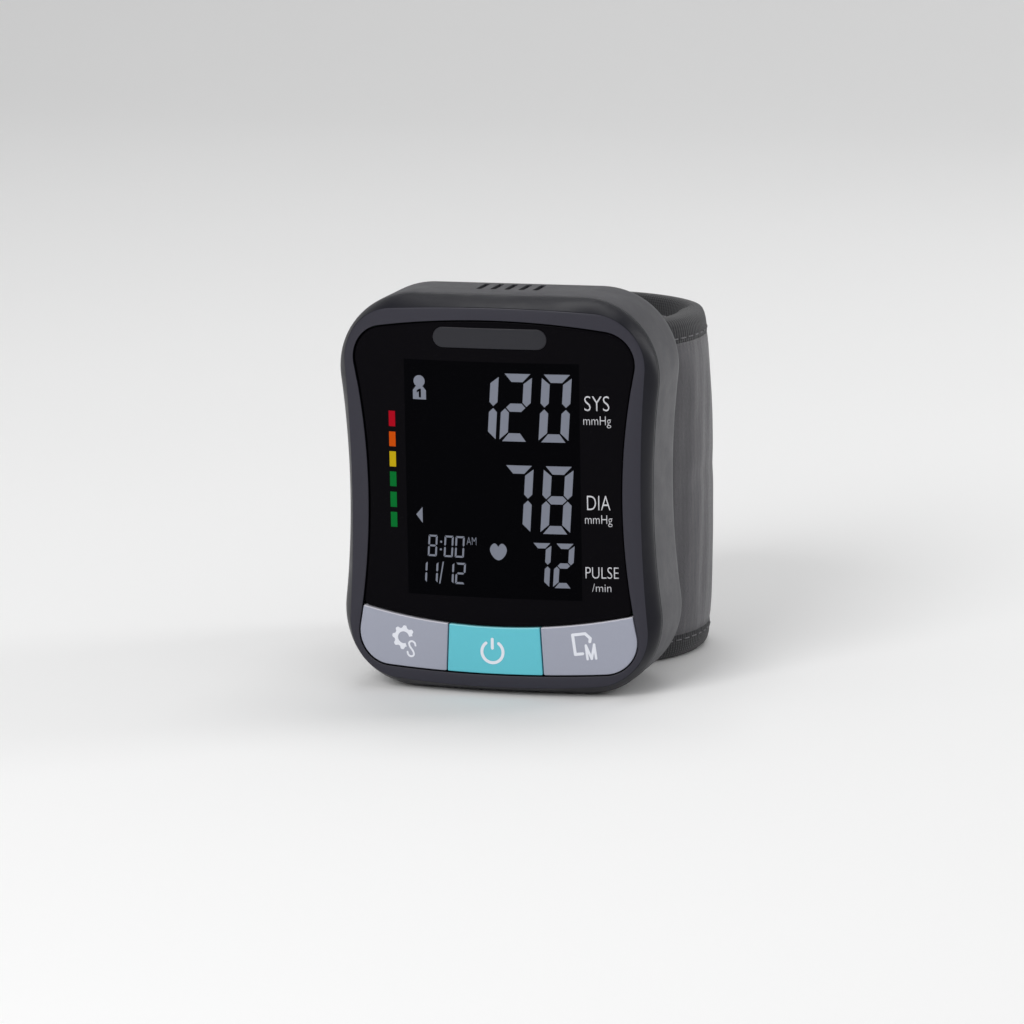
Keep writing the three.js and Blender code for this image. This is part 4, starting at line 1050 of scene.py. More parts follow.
# %% Buttons
BUTTON_FRONT, BUTTON_BACK, BUTTON_EDGE = 0.1, 2.4, 0.22
BUTTON_CORNER, BUTTON_STEPS = 0.2, 10
FACING_UP = 0.3
buttons = {}
for name, edge, first, last, finishes, slot_name in (
        ("settings", left_edge, None, (-1, -GAP), (grey_button, grey_painted_highlight), "button_grey"),
        ("power", low_edge, (-1, GAP), (1, -GAP), (teal_button, teal_painted_highlight), "button_teal"),
        ("memory", right_edge, (1, GAP), None, (grey_button, grey_painted_highlight), "button_grey")):
    outline = rounded_outline(button_sides(edge, first, last), BUTTON_CORNER)
    cap = dome_plate(f"{name}_cap", outline, BUTTON_FRONT, BUTTON_BACK, BUTTON_EDGE, BUTTON_STEPS)
    paint(cap, *finishes)
    # Faces that turn upwards take the lighter finish, a painted highlight.
    for face in cap.data.polygons:
        face.material_index = 1 if face.normal.z > FACING_UP else 0
    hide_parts(f"{name}_button")
    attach(cap, f"{name}_button")
    buttons[name] = cap
print("buttons:", {name: len(cap.data.polygons) for name, cap in buttons.items()})

# %% [markdown]
# ## What the display shows
# The display's segments show plain numbers. A segment is a flat face: a filled circle primitive is added
# with as many points as the segment has corners, and the points are put in place. All faces of one colour
# are joined, sliced by upright bisect planes so that they can bend, laid on the dome and given a very
# thin wall.

# %% Flat faces on the dome
SLICE = 1.2
SLICE_START = 0.37
PRINT_LIFT = 0.05
PRINT_WALL = 0.8


def flat_face(points):
    face = added("flat_face", bpy.ops.mesh.primitive_circle_add, vertices=len(points), radius=1,
                 fill_type="NGON")
    turn = sum(a[0] * b[1] - b[0] * a[1] for a, b in zip(points, points[1:] + points[:1]))
    put_points(face, [(x, z, 0) for x, z in (points if turn > 0 else points[::-1])])
    return face


def laid_on_face(piece, recess, lift=PRINT_LIFT):
    """Bends a flat drawing in x and y onto the dome and gives it a thin wall."""
    active(piece)
    xs = [vertex.co.x for vertex in piece.data.vertices]
    bpy.ops.object.mode_set(mode="EDIT")
    x = math.floor(min(xs)) + SLICE_START
    while x < max(xs):
        bpy.ops.mesh.select_all(action="SELECT")
        bpy.ops.mesh.bisect(plane_co=(x, 0, 0), plane_no=(1, 0, 0))
        x += SLICE
    bpy.ops.object.mode_set(mode="OBJECT")
    for vertex in piece.data.vertices:
        x, z, _ = vertex.co
        vertex.co = in_frame(x, dome(x) + recess - lift, z + CENTRE_Z)
    piece.data.update()
    modified(piece, "SOLIDIFY", thickness=PRINT_WALL * lift * MM, offset=-1.0)
    return piece


print("flat face helper ready")

# %% Seven segments
SEGMENTS = {
    "0": "abcdef", "1": "bc", "2": "abged", "3": "abgcd", "4": "fgbc",
    "5": "afgcd", "6": "afgedc", "7": "abc", "8": "abcdefg", "9": "abcdfg",
}
SLANT = 0.07


def digit(number, x, z, width, height, stroke, gap):
    """Segments of a digit whose lower left corner is at x, z. Their ends are mitred."""
    half, mid = stroke / 2, height / 2
    w, h, t = width, height, stroke
    lower, upper = mid - half - gap, mid + half + gap
    short, tip, shoulder = 0.12 * t, 0.22 * t, 0.44 * t
    shapes = {
        "a": [(tip, h), (w - tip, h), (w - t - short, h - t), (t + short, h - t)],
        "b": [(w, h - shoulder), (w, upper), (w - half, mid + gap), (w - t, upper), (w - t, h - t - tip)],
        "c": [(w, tip), (w - t, t + short), (w - t, lower), (w - half, mid - gap), (w, lower)],
        "d": [(tip + short, 0), (t + short, t), (w - t - short, t), (w - tip - short, 0)],
        "e": [(0, tip), (0, lower), (half, mid - gap), (t, lower), (t, t + short)],
        "f": [(0, h - shoulder), (t, h - t - tip), (t, upper), (half, mid + gap), (0, upper)],
        "g": [(half + gap, mid), (t + gap, mid + half), (w - t - gap, mid + half), (w - half - gap, mid),
              (w - t - gap, mid - half), (t + gap, mid - half)],
    }
    return [flat_face([(x + u + v * SLANT, z + v) for u, v in shapes[key]]) for key in SEGMENTS[number]]


NUMBERS = (
    # digits with their left edges, then base, width, height, stroke and gap of the row
    ((("1", -5.12), ("2", 1.82), ("0", 9.98)), 12.0, 6.12, 13.9, 1.69, 0.2),
    ((("7", 1.83), ("8", 10.06)), -6.88, 6.12, 13.97, 1.69, 0.2),
    ((("7", 7.72), ("2", 12.5)), -18.04, 3.98, 9.25, 1.1, 0.16),
    ((("8", -14.09), ("0", -10.6), ("0", -8.21)), -12.52, 1.98, 4.46, 0.38, 0.12),
    ((("1", -16.56), ("1", -14.21), ("1", -10.75), ("2", -8.25)), -18.03, 2.15, 4.45, 0.4, 0.12),
)
faces = []
for row, *measures in NUMBERS:
    base, *sizes = measures
    for number, x in row:
        faces += digit(number, x, base, *sizes)
print("segments:", len(faces))

# %% Signs between the numbers
def circle_points(x, z, radius, count):
    return arc(x, z, radius, 0, 2 * math.pi, count)[:-1]


def chamfered(points, closed=True):
    """An outline, or an open line, with its corners cut off twice so that it runs smoothly."""
    for _ in range(2):
        pairs = list(zip(points, points[1:] + points[:1]))
        kept = [] if closed else points[:1]
        for a, b in pairs if closed else pairs[:-1]:
            kept += [part_way(a, b, share) for share in (0.25, 0.75)]
        points = kept if closed else kept + points[-1:]
    return points


HEART_SIDE = ((0.0, 0.0), (0.43, 0.1), (0.76, 0.29), (0.94, 0.47), (1.03, 0.66), (0.9, 0.85), (0.68, 0.98),
              (0.46, 1.03), (0.26, 0.99), (0.12, 0.91), (0.0, 0.82))


def heart_points(x, tip, half_width, height):
    right = [(x + u * half_width, tip + v * height) for u, v in HEART_SIDE]
    left = [(2 * x - u, v) for u, v in reversed(right[1:-1])]
    return chamfered(right + left)


arrow = [(-16.42, -3.98), (-15.03, -5.7), (-15.03, -2.4)]
date_stroke = [(-10.83, -13.55), (-10.56, -13.55), (-11.45, -18.15), (-11.72, -18.15)]
colon = [circle_points(x, z, radius=0.23, count=12) for x, z in ((-11.08, -9.4), (-11.18, -11.0))]
heart = heart_points(1.2, tip=-12.77, half_width=1.78, height=3.48)
user_head = circle_points(-15.2, 23.65, radius=1.22, count=28)
user_body = [(-16.6, 19.9), (-13.75, 19.9), (-13.75, 21.8), (-14.45, 22.6), (-15.95, 22.6), (-16.6, 21.8)]
for shape in (heart, arrow, date_stroke, *colon, user_head, user_body):
    faces.append(flat_face(shape))
segments = laid_on_face(joined("display_segments", faces), RECESS)
paint(segments, segment_grey)
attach(segments, "case")
print("display faces:", len(segments.data.polygons))

# %% [markdown]
# ## Printing on the window and the buttons
# Beside the numbers stand the usual measures and units, and on the buttons plain signs for settings,
# power and memory. Words are text objects that are turned into meshes first; signs are drawn as flat
# faces.

# %% Words
LETTER_THINNING = -0.011
CAPITAL_SHARE = 0.682


def word(text, left, right, base, cap_height):
    """Letters between two x positions, with capitals of a height above a base line."""
    letters = added("letters", bpy.ops.object.text_add)
    letters.data.body = text
    letters.data.offset = LETTER_THINNING
    letters.data.resolution_u = 4
    bpy.ops.object.convert(target="MESH")
    letters = bpy.context.object
    xs = [vertex.co.x for vertex in letters.data.vertices]
    stretch = (right - left) / (max(xs) - min(xs))
    tall = cap_height / CAPITAL_SHARE
    for vertex in letters.data.vertices:
        vertex.co = (left + (vertex.co.x - min(xs)) * stretch, base + vertex.co.y * tall, 0)
    return letters


WORDS = (
    # text, left and right edges, base line and height of the capitals
    ("SYS", 19.5, 24.55, 18.55, 3.1), ("mmHg", 19.25, 24.85, 15.7, 1.85),
    ("DIA", 19.75, 24.5, -1.8, 3.05), ("mmHg", 19.3, 24.85, -4.6, 1.85),
    ("PULSE", 19.25, 26.0, -15.9, 2.4), ("/min", 20.55, 24.45, -18.65, 1.7),
)
labels = laid_on_face(joined("window_words", [word(*row) for row in WORDS]), RECESS)
paint(labels, label_white)
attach(labels, "case")
small = laid_on_face(joined("display_words", [word("AM", -5.58, -3.46, -9.78, 1.66)]), RECESS)
paint(small, segment_grey)
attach(small, "case")
numeral = [(-15.3, 20.3), (-14.85, 20.3), (-14.85, 22.1), (-15.2, 22.1), (-15.75, 21.7), (-15.75, 21.3),
           (-15.3, 21.55)]
one = laid_on_face(joined("user_number", [flat_face(numeral)]), RECESS, lift=0.09)
paint(one, window_black)
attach(one, "case")
print("word faces:", len(labels.data.polygons))

# %% Range bar beside the display
BAR = (("red", 17.2, 14.0), ("orange", 12.9, 9.85), ("yellow", 8.8, 5.65),
       ("green", 4.6, 1.55), ("green", 0.4, -2.75), ("green", -3.8, -6.9))
BAR_LEFT, BAR_RIGHT = -22.1, -20.68
for colour in bar_finishes:
    blocks = [flat_face([(BAR_LEFT, low), (BAR_RIGHT, low), (BAR_RIGHT, high), (BAR_LEFT, high)])
              for name, high, low in BAR if name == colour]
    bar = laid_on_face(joined(f"range_{colour}", blocks), RECESS)
    paint(bar, bar_finishes[colour])
    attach(bar, "case")
print("range bar:", len(BAR), "blocks")

# %% Signs on the buttons
ABOUT_TURN = 3.1
LEAST_TURN = 0.05
STEPS_PER_RADIAN = 4
COG_STEPS = 140
TOOTH_BLUNTNESS = 1.5


def pen_line(points, width):
    """A line of one width as one face. It goes there and back, with round ends and round outer corners."""
    half = width / 2
    loop = points + points[-2:0:-1]
    outline = []
    for i, (x, z) in enumerate(loop):
        (before_x, before_z), (after_x, after_z) = loop[i - 1], loop[(i + 1) % len(loop)]
        heading = math.atan2(z - before_z, x - before_x)
        turn = math.remainder(math.atan2(after_z - z, after_x - x) - heading, 2 * math.pi)
        turn = math.pi if abs(turn) > ABOUT_TURN else turn
        if turn > LEAST_TURN:
            start = heading - math.pi / 2
            outline += arc(x, z, half, start, start + turn, max(2, round(STEPS_PER_RADIAN * turn)))
        else:
            away = heading + (turn - math.pi) / 2
            mitre = half / math.cos(turn / 2)
            outline.append((x + mitre * math.cos(away), z + mitre * math.sin(away)))
    return flat_face(outline)


def cog(x, z, hole, radius, depth, teeth, first, start, end):
    """A stretch of a cog wheel with blunt teeth, between two angles. first is a tooth's own angle."""
    angles = [math.radians(angle) for angle in ladder(start, end, COG_STEPS)]
    edge = []
    for angle in angles:
        wave = TOOTH_BLUNTNESS * math.cos(teeth * (angle - math.radians(first)))
        tooth = max(-1.0, min(1.0, wave))
        reach = radius + depth * tooth
        edge.append((x + reach * math.cos(angle), z + reach * math.sin(angle)))
    return flat_face(edge + arc(x, z, hole, angles[-1], angles[0], COG_STEPS // 3))


PEN, LETTER_PEN, CURL_PEN = 0.62, 0.5, 0.4
POWER_AT, POWER_RADIUS = (-0.37, -31.8), 2.25
RING_START, RING_END, RING_STEPS = math.radians(127), math.radians(413), 48
power_ring = arc(*POWER_AT, POWER_RADIUS, RING_START, RING_END, RING_STEPS)
power_sign = [pen_line(power_ring, PEN), pen_line([(POWER_AT[0], -31.0), (POWER_AT[0], -29.14)], PEN)]
CURL_AT = (-18.02, -32.17)
half_curl = [(0.9, 0.72), (0.78, 1.32), (0.1, 1.68), (-0.58, 1.3), (-0.42, 0.55), (0.0, 0.0)]
curl = half_curl + [(-u, -v) for u, v in reversed(half_curl[:-1])]
curl = chamfered([(CURL_AT[0] + u, CURL_AT[1] + v) for u, v in curl], closed=False)
settings_cog = cog(-19.73, -29.89, hole=1.24, radius=2.28, depth=0.26, teeth=8, first=36.7, start=10,
                   end=289)
settings_sign = [settings_cog, pen_line(curl, CURL_PEN)]
page = [(18.5, -31.5), (17.0, -31.68), (16.48, -27.64), (19.05, -27.3), (20.1, -28.25), (20.0, -28.95)]
letter = [(19.5, -32.6), (19.16, -29.75), (20.35, -32.5), (20.86, -29.5), (21.26, -32.42)]
memory_sign = [pen_line(page, PEN), pen_line(letter, LETTER_PEN)]
for name, drawing in (("power", power_sign), ("settings", settings_sign), ("memory", memory_sign)):
    sign = laid_on_face(joined(f"{name}_sign", drawing), BUTTON_FRONT)
    paint(sign, icon_white)
    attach(sign, f"{name}_button")
print("button signs: settings, power, memory")

# %% [markdown]
# ## Cells
# The two cells show when the battery door is open. A cell is a cylinder whose end face is inset and
# extruded into its button, with a soft rim. A sleeve covers its side and bare metal its ends, chosen by
# how far each face is from the cell's axis. The sleeve has another colour near the button.

# %% Cells
sleeve = plastic("cell_label", srgb(43, 79, 158), 0.3, contrast=0.06)
sleeve_end = plastic("cell_label_end", srgb(196, 148, 74), 0.35, contrast=0.06)
bare_metal = plastic("steel", srgb(181, 183, 186), 0.3, metallic=1.0, relief=0.00001)
SLEEVE_BAND, NUB, NUB_RADIUS = 0.011, 0.001, 0.0019
SLEEVE_FINISH, METAL_FINISH, SLEEVE_END_FINISH = 0, 1, 2
CELL_SIDES = 48
SIDE_SHARE = 0.9


def cell(name, node, button_up):
    low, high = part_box(node)
    radius = (high.x - low.x) / 2
    middle_x, middle_y = (low.x + high.x) / 2, (low.y + high.y) / 2
    length = high.z - low.z - NUB
    start = low.z if button_up else low.z + NUB
    middle = (middle_x, middle_y, start + length / 2)
    piece = settled(added(name, bpy.ops.mesh.primitive_cylinder_add, vertices=CELL_SIDES, radius=radius,
                          depth=length, location=middle))
    way = 1 if button_up else -1
    edit_some(piece, "FACE", lambda face: face.normal.z * way > SQUARE_ON)
    bpy.ops.mesh.inset(thickness=radius - NUB_RADIUS)
    bpy.ops.mesh.extrude_region_move(TRANSFORM_OT_translate={"value": (0, 0, way * NUB)})
    bpy.ops.mesh.select_all(action="SELECT")
    split = (high.z if button_up else low.z) - way * (NUB + SLEEVE_BAND)
    bpy.ops.mesh.bisect(plane_co=(0, 0, split), plane_no=(0, 0, 1))
    soften(piece, width=0.35, angle=40)
    paint(piece, sleeve, bare_metal, sleeve_end)
    for face in piece.data.polygons:
        off_axis = math.hypot(face.center.x - middle_x, face.center.y - middle_y)
        wrapped = SLEEVE_END_FINISH if (face.center.z - split) * way > 0 else SLEEVE_FINISH
        face.material_index = wrapped if off_axis > radius * SIDE_SHARE else METAL_FINISH
    smooth(piece)
    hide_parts(node)
    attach(piece, "case")
    return piece


cells = [cell("cell_outer", "battery_outer", True), cell("cell_inner", "battery_inner", False)]
print("cells:", [piece.name for piece in cells])

# %% [markdown]
# ## Cuff
# The cuff is a padded band: brushed cloth outside, smooth lining inside, and a woven tape that binds both
# edges. Its section is a closed loop that changes along the band: thick with the air bag in the fixed
# part, thinner in the flap, and a single strap at the tail. The padding is shaped by moving points, with
# soft creases across it.

# %% Loop of the cuff
HALF_WIDTH, HALF_DEPTH = 24.0, 21.0
THICK = 6.9
CUFF_GAP = 0.4
LOOP_Y = SADDLE + CUFF_GAP + THICK + HALF_DEPTH
CUFF_HEIGHT = 72.0
HINGE = 15.0
FACE_ROWS = 40
PILLOW_POWER = 3.5
TAPE_ROWS = 7
TAPE_WIDTH = 5.0
TAPE_PROUD = 0.12
TAPE_REACH_POWER, TAPE_RISE_POWER = 0.45, 0.9


def loop_point(angle, offset):
    """A point at an offset outside the loop's inner oval, as x and depth."""
    c, s = math.cos(math.radians(angle)), math.sin(math.radians(angle))
    nx, ny = c / HALF_WIDTH, s / HALF_DEPTH
    size = math.hypot(nx, ny)
    return HALF_WIDTH * c + offset * nx / size, LOOP_Y + HALF_DEPTH * s + offset * ny / size


def ease(value, low, high):
    t = min(max((value - low) / (high - low), 0.0), 1.0)
    return t * t * (3 - 2 * t)


def tape_quarter(mid, reach, edge, width):
    """A quarter of a binding tape, from the cloth to the rim."""
    turns = [math.pi / 2 * share for share in ladder(0, 1, TAPE_ROWS - 1)]
    across = [mid + reach * math.cos(a) ** TAPE_REACH_POWER for a in turns]
    along = [edge + width * math.sin(a) ** TAPE_RISE_POWER for a in turns]
    return list(zip(across, along))


def section(inner, outer, swell_in, swell_out):
    """The section as offset and height: up the outside, over the top, down the inside, round below."""
    mid, reach = (inner + outer) / 2, (outer - inner) / 2 + TAPE_PROUD
    low, high = TAPE_WIDTH, CUFF_HEIGHT - TAPE_WIDTH
    shares = ladder(0, 1, FACE_ROWS)
    face = [(low + (high - low) * share, 1 - abs(2 * share - 1) ** PILLOW_POWER) for share in shares]
    top_out, top_in = (tape_quarter(mid, side, high, TAPE_WIDTH) for side in (reach, -reach))
    foot_out, foot_in = (tape_quarter(mid, side, low, -TAPE_WIDTH) for side in (reach, -reach))
    points = [(outer + swell_out * pillow, z) for z, pillow in face]
    points += top_out + top_in[-2::-1]
    points += [(inner - swell_in * pillow, z) for z, pillow in reversed(face)]
    return points + foot_in + foot_out[-2::-1]


print("points in a section:", len(section(0, THICK, 0, 0)))

# %% Band helper
END_TURNS = (0.35, 0.7, 1.05, 1.35, math.pi / 2)
END_RADIUS = 27.0
END_DROP = 0.03
WEAVE_RADIUS = 26.0
SLOW_FOLD, QUICK_FOLD = 0.22, 0.14
FOLD_NEAR, FOLD_FAR = 4, 16
PUCKER, PUCKER_REACH = 0.1, 3.2
CLOTH_FINISH, TAPE_FINISH, LINING_FINISH = 0, 1, 2


def crease(angle, z):
    """Shallow folds of the padding: a few slow waves that cross each other."""
    slow = math.sin(0.31 * angle + 0.9 * math.sin(0.11 * z))
    return SLOW_FOLD * slow + QUICK_FOLD * math.sin(0.73 * angle - 0.13 * z)


def pucker(angle, z):
    """Small gathers where the stitching draws the cloth in, next to each binding tape."""
    from_tape = min(z, CUFF_HEIGHT - z) - TAPE_WIDTH
    if from_tape < 0:
        return 0.0
    wave = math.sin(1.05 * angle + 1.3 * math.sin(0.37 * angle))
    return (PUCKER * wave - PUCKER) * math.exp(-(from_tape / PUCKER_REACH) ** 2)


def padded_ring(angle, shape):
    """One section of a band with its folds, as angle, offset and height."""
    inner, outer, swell_in, swell_out = shape(angle)
    ring = []
    for offset, z in section(inner, outer, swell_in, swell_out):
        side = 1 if offset > (inner + outer) / 2 else -1
        below_top = 1 - ease(z, CUFF_HEIGHT - FOLD_FAR, CUFF_HEIGHT - FOLD_NEAR)
        flat = ease(z, FOLD_NEAR, FOLD_FAR) * below_top
        fold = crease(angle, z) * flat * (swell_out if side > 0 else swell_in)
        ring.append((angle, offset + (fold + pucker(angle, z)) * side, z))
    return ring


def end_rings(angle, shape, turn):
    """Rings that round off an end of the band and close it."""
    inner, outer, _, _ = shape(angle)
    mid, half = (inner + outer) / 2, (outer - inner) / 2
    rings = []
    for a in END_TURNS:
        away = angle + turn * math.degrees(half * math.sin(a) / END_RADIUS)
        low = END_DROP * (1 - math.cos(a))
        rings.append([(away, mid + (offset - mid) * math.cos(a), z - (z - CUFF_HEIGHT / 2) * low)
                      for offset, z in section(inner, outer, 0, 0)])
    return rings


def band(name, angles, shape, tape_from=None):
    """Skins sections along the loop. shape gives each angle's inner and outer offset and swellings."""
    plan = end_rings(angles[0], shape, -1)[::-1] + [padded_ring(angle, shape) for angle in angles]
    plan += end_rings(angles[-1], shape, 1)
    rings = [[(*loop_point(angle, offset), z) for angle, offset, z in ring] for ring in plan]
    piece = skin(name, rings, weld=False)
    weave_places = [(math.radians(angle) * WEAVE_RADIUS * MM, (z + offset) * MM, offset * MM)
                    for ring in plan for angle, offset, z in ring + ring[:1]]
    weave_layer = piece.data.attributes.new("weave", "FLOAT_VECTOR", "POINT")
    weave_layer.data.foreach_set("vector", np.array(weave_places, dtype=np.float32).ravel())
    columns, cloth_columns, tape_columns = len(rings[0]), FACE_ROWS + 1, 2 * TAPE_ROWS - 2
    kinds = [CLOTH_FINISH] * cloth_columns + [TAPE_FINISH] * tape_columns + [LINING_FINISH] * cloth_columns
    kinds += [TAPE_FINISH] * (columns - len(kinds))
    index = []
    for row in range(len(rings) - 1):
        end = row < len(END_TURNS) or row > len(rings) - len(END_TURNS) - 2
        taped = tape_from is not None and plan[row][0][0] > tape_from
        index += [TAPE_FINISH] * columns if taped or end else kinds
    paint(piece, cuff_cloth, cuff_tape, cuff_lining)
    piece.data.polygons.foreach_set("material_index", np.array(index, dtype=np.int32))
    weld_seams(piece)
    bpy.ops.object.shade_smooth()
    return piece


print("band helper ready")

# %% Fixed half and flap
SKIN = THICK - 0.15
FLAP_INNER = 2.7
TAIL_RISE = 2.7
TAIL_THICK = 1.05
SWELL_IN, SWELL_OUT = 0.9, 0.7
FLAP_SWELL, FLAP_FLATTER = 0.3, 0.6
# stretches of the loop, in degrees, over which the band changes its section
CASE_SPAN, BACK_SPAN = (52, 80), (190, 215)
STUB_SPAN, RISE_SPAN, TAIL_SPAN = (140, 156), (106, 137), (106, 133)
THIN_SPAN = (HINGE - 6, HINGE + 8)
FIXED_SPAN, FIXED_SECTIONS = (141.5, 269.6), 64
FLAP_SPAN, FLAP_SECTIONS = (-89.6, 189.0), 150
TAPED_FROM = 184


def fixed_shape(angle):
    near_case = 1 - ease(abs(angle - 270), *CASE_SPAN)
    stub = ease(angle, *STUB_SPAN)
    return 0.0, SKIN, SWELL_IN * stub, SWELL_OUT * (1 - near_case) * stub * ease(angle, *BACK_SPAN)


def flap_shape(angle):
    near_case = 1 - ease(angle + 90, *CASE_SPAN)
    thin = ease(angle, *THIN_SPAN)
    rise = ease(angle, *RISE_SPAN) * TAIL_RISE
    tail = ease(angle, *TAIL_SPAN)
    inner = FLAP_INNER * thin
    inner = inner + (SKIN - TAIL_THICK - inner) * tail + rise
    swell_in = SWELL_IN * (1 - thin) + FLAP_SWELL * thin * (1 - tail)
    swell_out = SWELL_OUT * ((1 - near_case) * (1 - tail)) * (1 - FLAP_FLATTER * thin)
    return inner, SKIN + rise, swell_in, swell_out


fixed_angles = ladder(*FIXED_SPAN, FIXED_SECTIONS)
flap_angles = ladder(*FLAP_SPAN, FLAP_SECTIONS)
cuff_left = band("cuff_left", fixed_angles, fixed_shape)
cuff_right = band("cuff_right_and_flap", flap_angles, flap_shape, tape_from=TAPED_FROM)
print("cuff faces:", len(cuff_left.data.polygons), len(cuff_right.data.polygons))

# %% [markdown]
# ### Plumping the padding
# Cloth that is sewn along its edges and has air behind it pulls into small folds at the seams. A short
# Cloth run with pressure makes them: the tapes, the tail and the back against the case are held, the
# lining is free. The run works on a copy that is twenty times as large, because Cloth is tuned for
# garments, and each point's move is limited, so that the cuff keeps its form.

# %% Cloth run
RUN_SCALE = 20.0
RUN_FRAMES = 16
RUN_PRESSURE = 3
RUN_GROWTH = 0.03
RUN_STIFFNESS = 4.0
EVENING_ROUNDS = 3
OUTSIDE_LIMIT, LINING_LIMIT = 0.45, 1.1
TAPE_HOLD = (TAPE_WIDTH + 0.8, TAPE_WIDTH + 3.0)
# stretches of the loop, in degrees, over which the hold fades
LEFT_START, LEFT_END = (141, 148), (264, 269)
RIGHT_START, RIGHT_BACK, RIGHT_TAIL = (-89, -84), (-35, -10), (92, 108)


def evened(piece, step):
    """Each point's move, averaged with its neighbours' so that no fold is as small as a face."""
    ends = np.empty(len(piece.data.edges) * 2, dtype=np.int32)
    piece.data.edges.foreach_get("vertices", ends)
    first, second = ends.reshape(-1, 2).T
    shared = np.bincount(ends, minlength=len(step))[:, None] + 1.0
    for _ in range(EVENING_ROUNDS):
        total = step.copy()
        np.add.at(total, first, step[second])
        np.add.at(total, second, step[first])
        step = total / shared
    return step


def values_of(items, name):
    """A vector attribute of all points as one row of numbers."""
    values = np.empty(len(items) * 3, dtype=np.float32)
    items.foreach_get(name, values)
    return values


def plump(piece, hold):
    """Moves a band's points to where a Cloth run takes them, the outside less far than the lining."""
    weave_values = values_of(piece.data.attributes["weave"].data, "vector").reshape(-1, 3) / MM
    places = [(math.degrees(u / WEAVE_RADIUS), w, v - w) for u, v, w in weave_values.tolist()]
    rest = values_of(piece.data.vertices, "co")
    model = bpy.data.objects.new("cloth_run", piece.data.copy())
    bpy.context.scene.collection.objects.link(model)
    model.data.vertices.foreach_set("co", rest * RUN_SCALE)
    held = model.vertex_groups.new(name="held")
    for number, spot in enumerate(places):
        held.add([number], hold(*spot), "REPLACE")
    run = model.modifiers.new("cloth", "CLOTH")
    run.settings.vertex_group_mass = "held"
    run.settings.effector_weights.gravity = 0
    run.settings.use_pressure = True
    run.settings.uniform_pressure_force = RUN_PRESSURE
    run.settings.shrink_min = -RUN_GROWTH
    run.settings.bending_stiffness = RUN_STIFFNESS
    run.collision_settings.use_collision = False
    for frame_number in range(1, RUN_FRAMES + 1):
        bpy.context.scene.frame_set(frame_number)
    shaped = model.evaluated_get(bpy.context.evaluated_depsgraph_get())
    moved = values_of(shaped.data.vertices, "co")
    step = evened(piece, (moved / RUN_SCALE - rest).reshape(-1, 3))
    far = np.linalg.norm(step, axis=1)
    limits = [OUTSIDE_LIMIT if offset > THICK / 2 else LINING_LIMIT for _, offset, _ in places]
    most = np.array(limits) * MM
    step *= (most / (most + far))[:, None]
    put_points(piece, rest.reshape(-1, 3) + step)
    bpy.data.objects.remove(model)
    bpy.context.scene.frame_set(1)
    print(piece.name, "largest move:", round(float(np.linalg.norm(step, axis=1).max()) / MM, 2), "mm")


def tape_hold(z):
    return 1 - ease(min(z, CUFF_HEIGHT - z), *TAPE_HOLD)


def left_hold(angle, offset, z):
    ends = max(1 - ease(angle, *LEFT_START), ease(angle, *LEFT_END))
    back = ease(angle, *BACK_SPAN) * (offset > THICK / 2)
    return max(tape_hold(z), ends, back)


def right_hold(angle, offset, z):
    ends = 1 - ease(angle, *RIGHT_START)
    back = (1 - ease(angle, *RIGHT_BACK)) * (offset > THICK / 2)
    return max(tape_hold(z), ends, back, ease(angle, *RIGHT_TAIL))


plump(cuff_left, left_hold)
plump(cuff_right, right_hold)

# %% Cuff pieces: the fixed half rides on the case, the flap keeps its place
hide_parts("cuff_outer_cover", "cuff_inner_cover", "air_bladder", "cuff_stiffener",
            "cuff_screw_1", "cuff_screw_2")
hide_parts("flap_outer_cover", "flap_inner_cover", "flap_stiffener")
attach(cuff_left, "case")
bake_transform(cuff_right)

# %% [markdown]
# ## Stitching and hook tape
# A row of stitches runs along each binding tape, outside and inside. One stitch is a small cylinder with
# rounded ends; each copy has its own mesh and lies along the band. The hook tape inside the tail is a
# thin patch whose ends are tucked in.

# %% Stitches
STITCH_RADIUS, STITCH_LENGTH = 0.00017, 0.0017
STITCH_PITCH = 2.7
STITCH_PROUD = 0.1
STITCH_INSET = 1.0
STITCH_HEIGHTS = (TAPE_WIDTH - STITCH_INSET, CUFF_HEIGHT - TAPE_WIDTH + STITCH_INSET)
WALK_STEPS = 8

stitch = added("stitch", bpy.ops.mesh.primitive_cylinder_add, vertices=6, radius=STITCH_RADIUS,
               depth=STITCH_LENGTH)
soften(stitch, width=0.12, angle=40, segments=1)
bpy.ops.object.shade_smooth()


def seam_point(angle, shape, outside, z):
    inner, outer, _, _ = shape(angle)
    return Vector((*loop_point(angle, outer + STITCH_PROUD if outside else inner - STITCH_PROUD), z))


def row_of_stitches(walk, shape, outside, z):
    made = []
    walked = STITCH_PITCH / 2
    points = [seam_point(angle, shape, outside, z) for angle in walk]
    for first, second in zip(points, points[1:]):
        walked += (second - first).length
        if walked < STITCH_PITCH:
            continue
        walked -= STITCH_PITCH
        copy = bpy.data.objects.new("stitch", stitch.data.copy())
        bpy.context.scene.collection.objects.link(copy)
        turn = Vector((0, 0, 1)).rotation_difference((second - first).normalized()).to_matrix().to_4x4()
        middle = (first + second) / 2
        copy.data.transform(Matrix.Translation(in_frame(*middle)) @ turn)
        made.append(copy)
    return made


def all_stitches(angles, shape):
    walk = ladder(angles[0], angles[-1], len(angles) * WALK_STEPS)
    rows = [(outside, z) for outside in (True, False) for z in STITCH_HEIGHTS]
    return [copy for outside, z in rows for copy in row_of_stitches(walk, shape, outside, z)]


left_rows = all_stitches(fixed_angles, fixed_shape)
right_rows = all_stitches(flap_angles, flap_shape)
stitches_left = joined("stitches_left", left_rows)
stitches_right = joined("stitches_right", right_rows)
bpy.data.objects.remove(stitch)
for rows in (stitches_left, stitches_right):
    paint(rows, thread)
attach(stitches_left, "case")
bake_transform(stitches_right)
print("stitches:", len(left_rows) + len(right_rows))

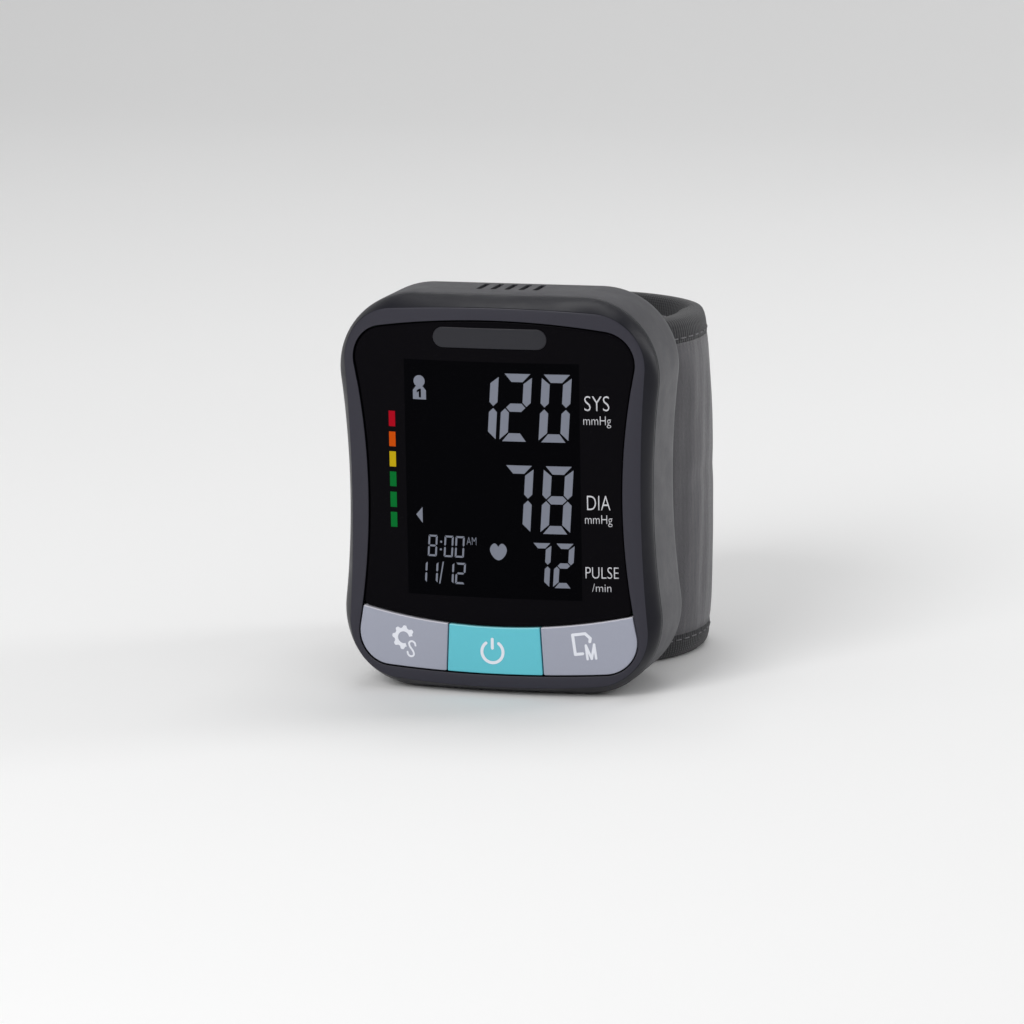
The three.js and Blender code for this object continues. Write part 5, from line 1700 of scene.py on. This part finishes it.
# %% Hook patch
PATCH_START, PATCH_END, PATCH_TUCK = 147.0, 186.0, 1.2
PATCH_OFFSET = THICK + 1.25
PATCH_DEPTH, PATCH_THIN = 0.7, 0.45
PATCH_STEPS = 36
PATCH_SECTION = ((6.5, 0.7), (6.0, 0.35), (6.5, 0.0), (65.5, 0.0), (66.0, 0.35), (65.5, 0.7))


def hook_patch():
    rings = []
    for angle in ladder(PATCH_START, PATCH_END, PATCH_STEPS):
        start_tuck = ease(angle, PATCH_START, PATCH_START + PATCH_TUCK)
        end_tuck = 1 - ease(angle, PATCH_END - PATCH_TUCK, PATCH_END)
        thin = PATCH_THIN + PATCH_THIN * min(start_tuck, end_tuck)
        rings.append([(*loop_point(angle, PATCH_OFFSET - thin * (PATCH_DEPTH - depth) / PATCH_DEPTH), z)
                      for z, depth in PATCH_SECTION])
    closed = [[tuple(sum(values) / len(ring) for values in zip(*ring))] * len(ring)
              for ring in (rings[0], rings[-1])]
    piece = skin("hook_patch_tape", closed[:1] + rings + closed[1:])
    smooth(piece, angle=40)
    return piece


patch = hook_patch()
paint(patch, hook_cloth)
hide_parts("hook_patch")
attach(patch, "cuff_flap")
print(patch.name, "faces:", len(patch.data.polygons))

# %% [markdown]
# ## Finishes of the CAD pieces that stay
# What is left of the frame is inside the case: board, pump, valve, hoses, springs and contacts. Their
# shapes are right as they are, and each gets the finish of its material slot.

# %% CAD finishes
cad_finishes = {
    "steel": bare_metal,
    "brass": plastic("brass", srgb(185, 154, 76), 0.3, metallic=1.0, relief=0.00001),
    "white_plastic": plastic("white_plastic", srgb(216, 216, 212), 0.5, contrast=0.04),
    "black_plastic": plastic("black_plastic", srgb(30, 30, 32), 0.55),
    "black_rubber": plastic("black_rubber", srgb(30, 30, 30), 0.75, scale=900.0),
    "board_green": plastic("board_green", srgb(31, 90, 52), 0.4, scale=500.0),
    "hose_clear": plastic("hose_clear", srgb(201, 205, 203), 0.35, contrast=0.04),
    "display_dark": plastic("display_dark", srgb(12, 13, 15), 0.15),
}
slots = {part["node"]: part["material_slot"] for part in frame["record"]["subparts"]}
for name, node in nodes.items():
    if not node.hide_render:
        paint(node, cad_finishes[slots[name]])
print("CAD nodes that show:", sum(not node.hide_render for node in nodes.values()))

# %% [markdown]
# ## The end
# The last line prints that the scene is built.

# %% End
print("scene built")
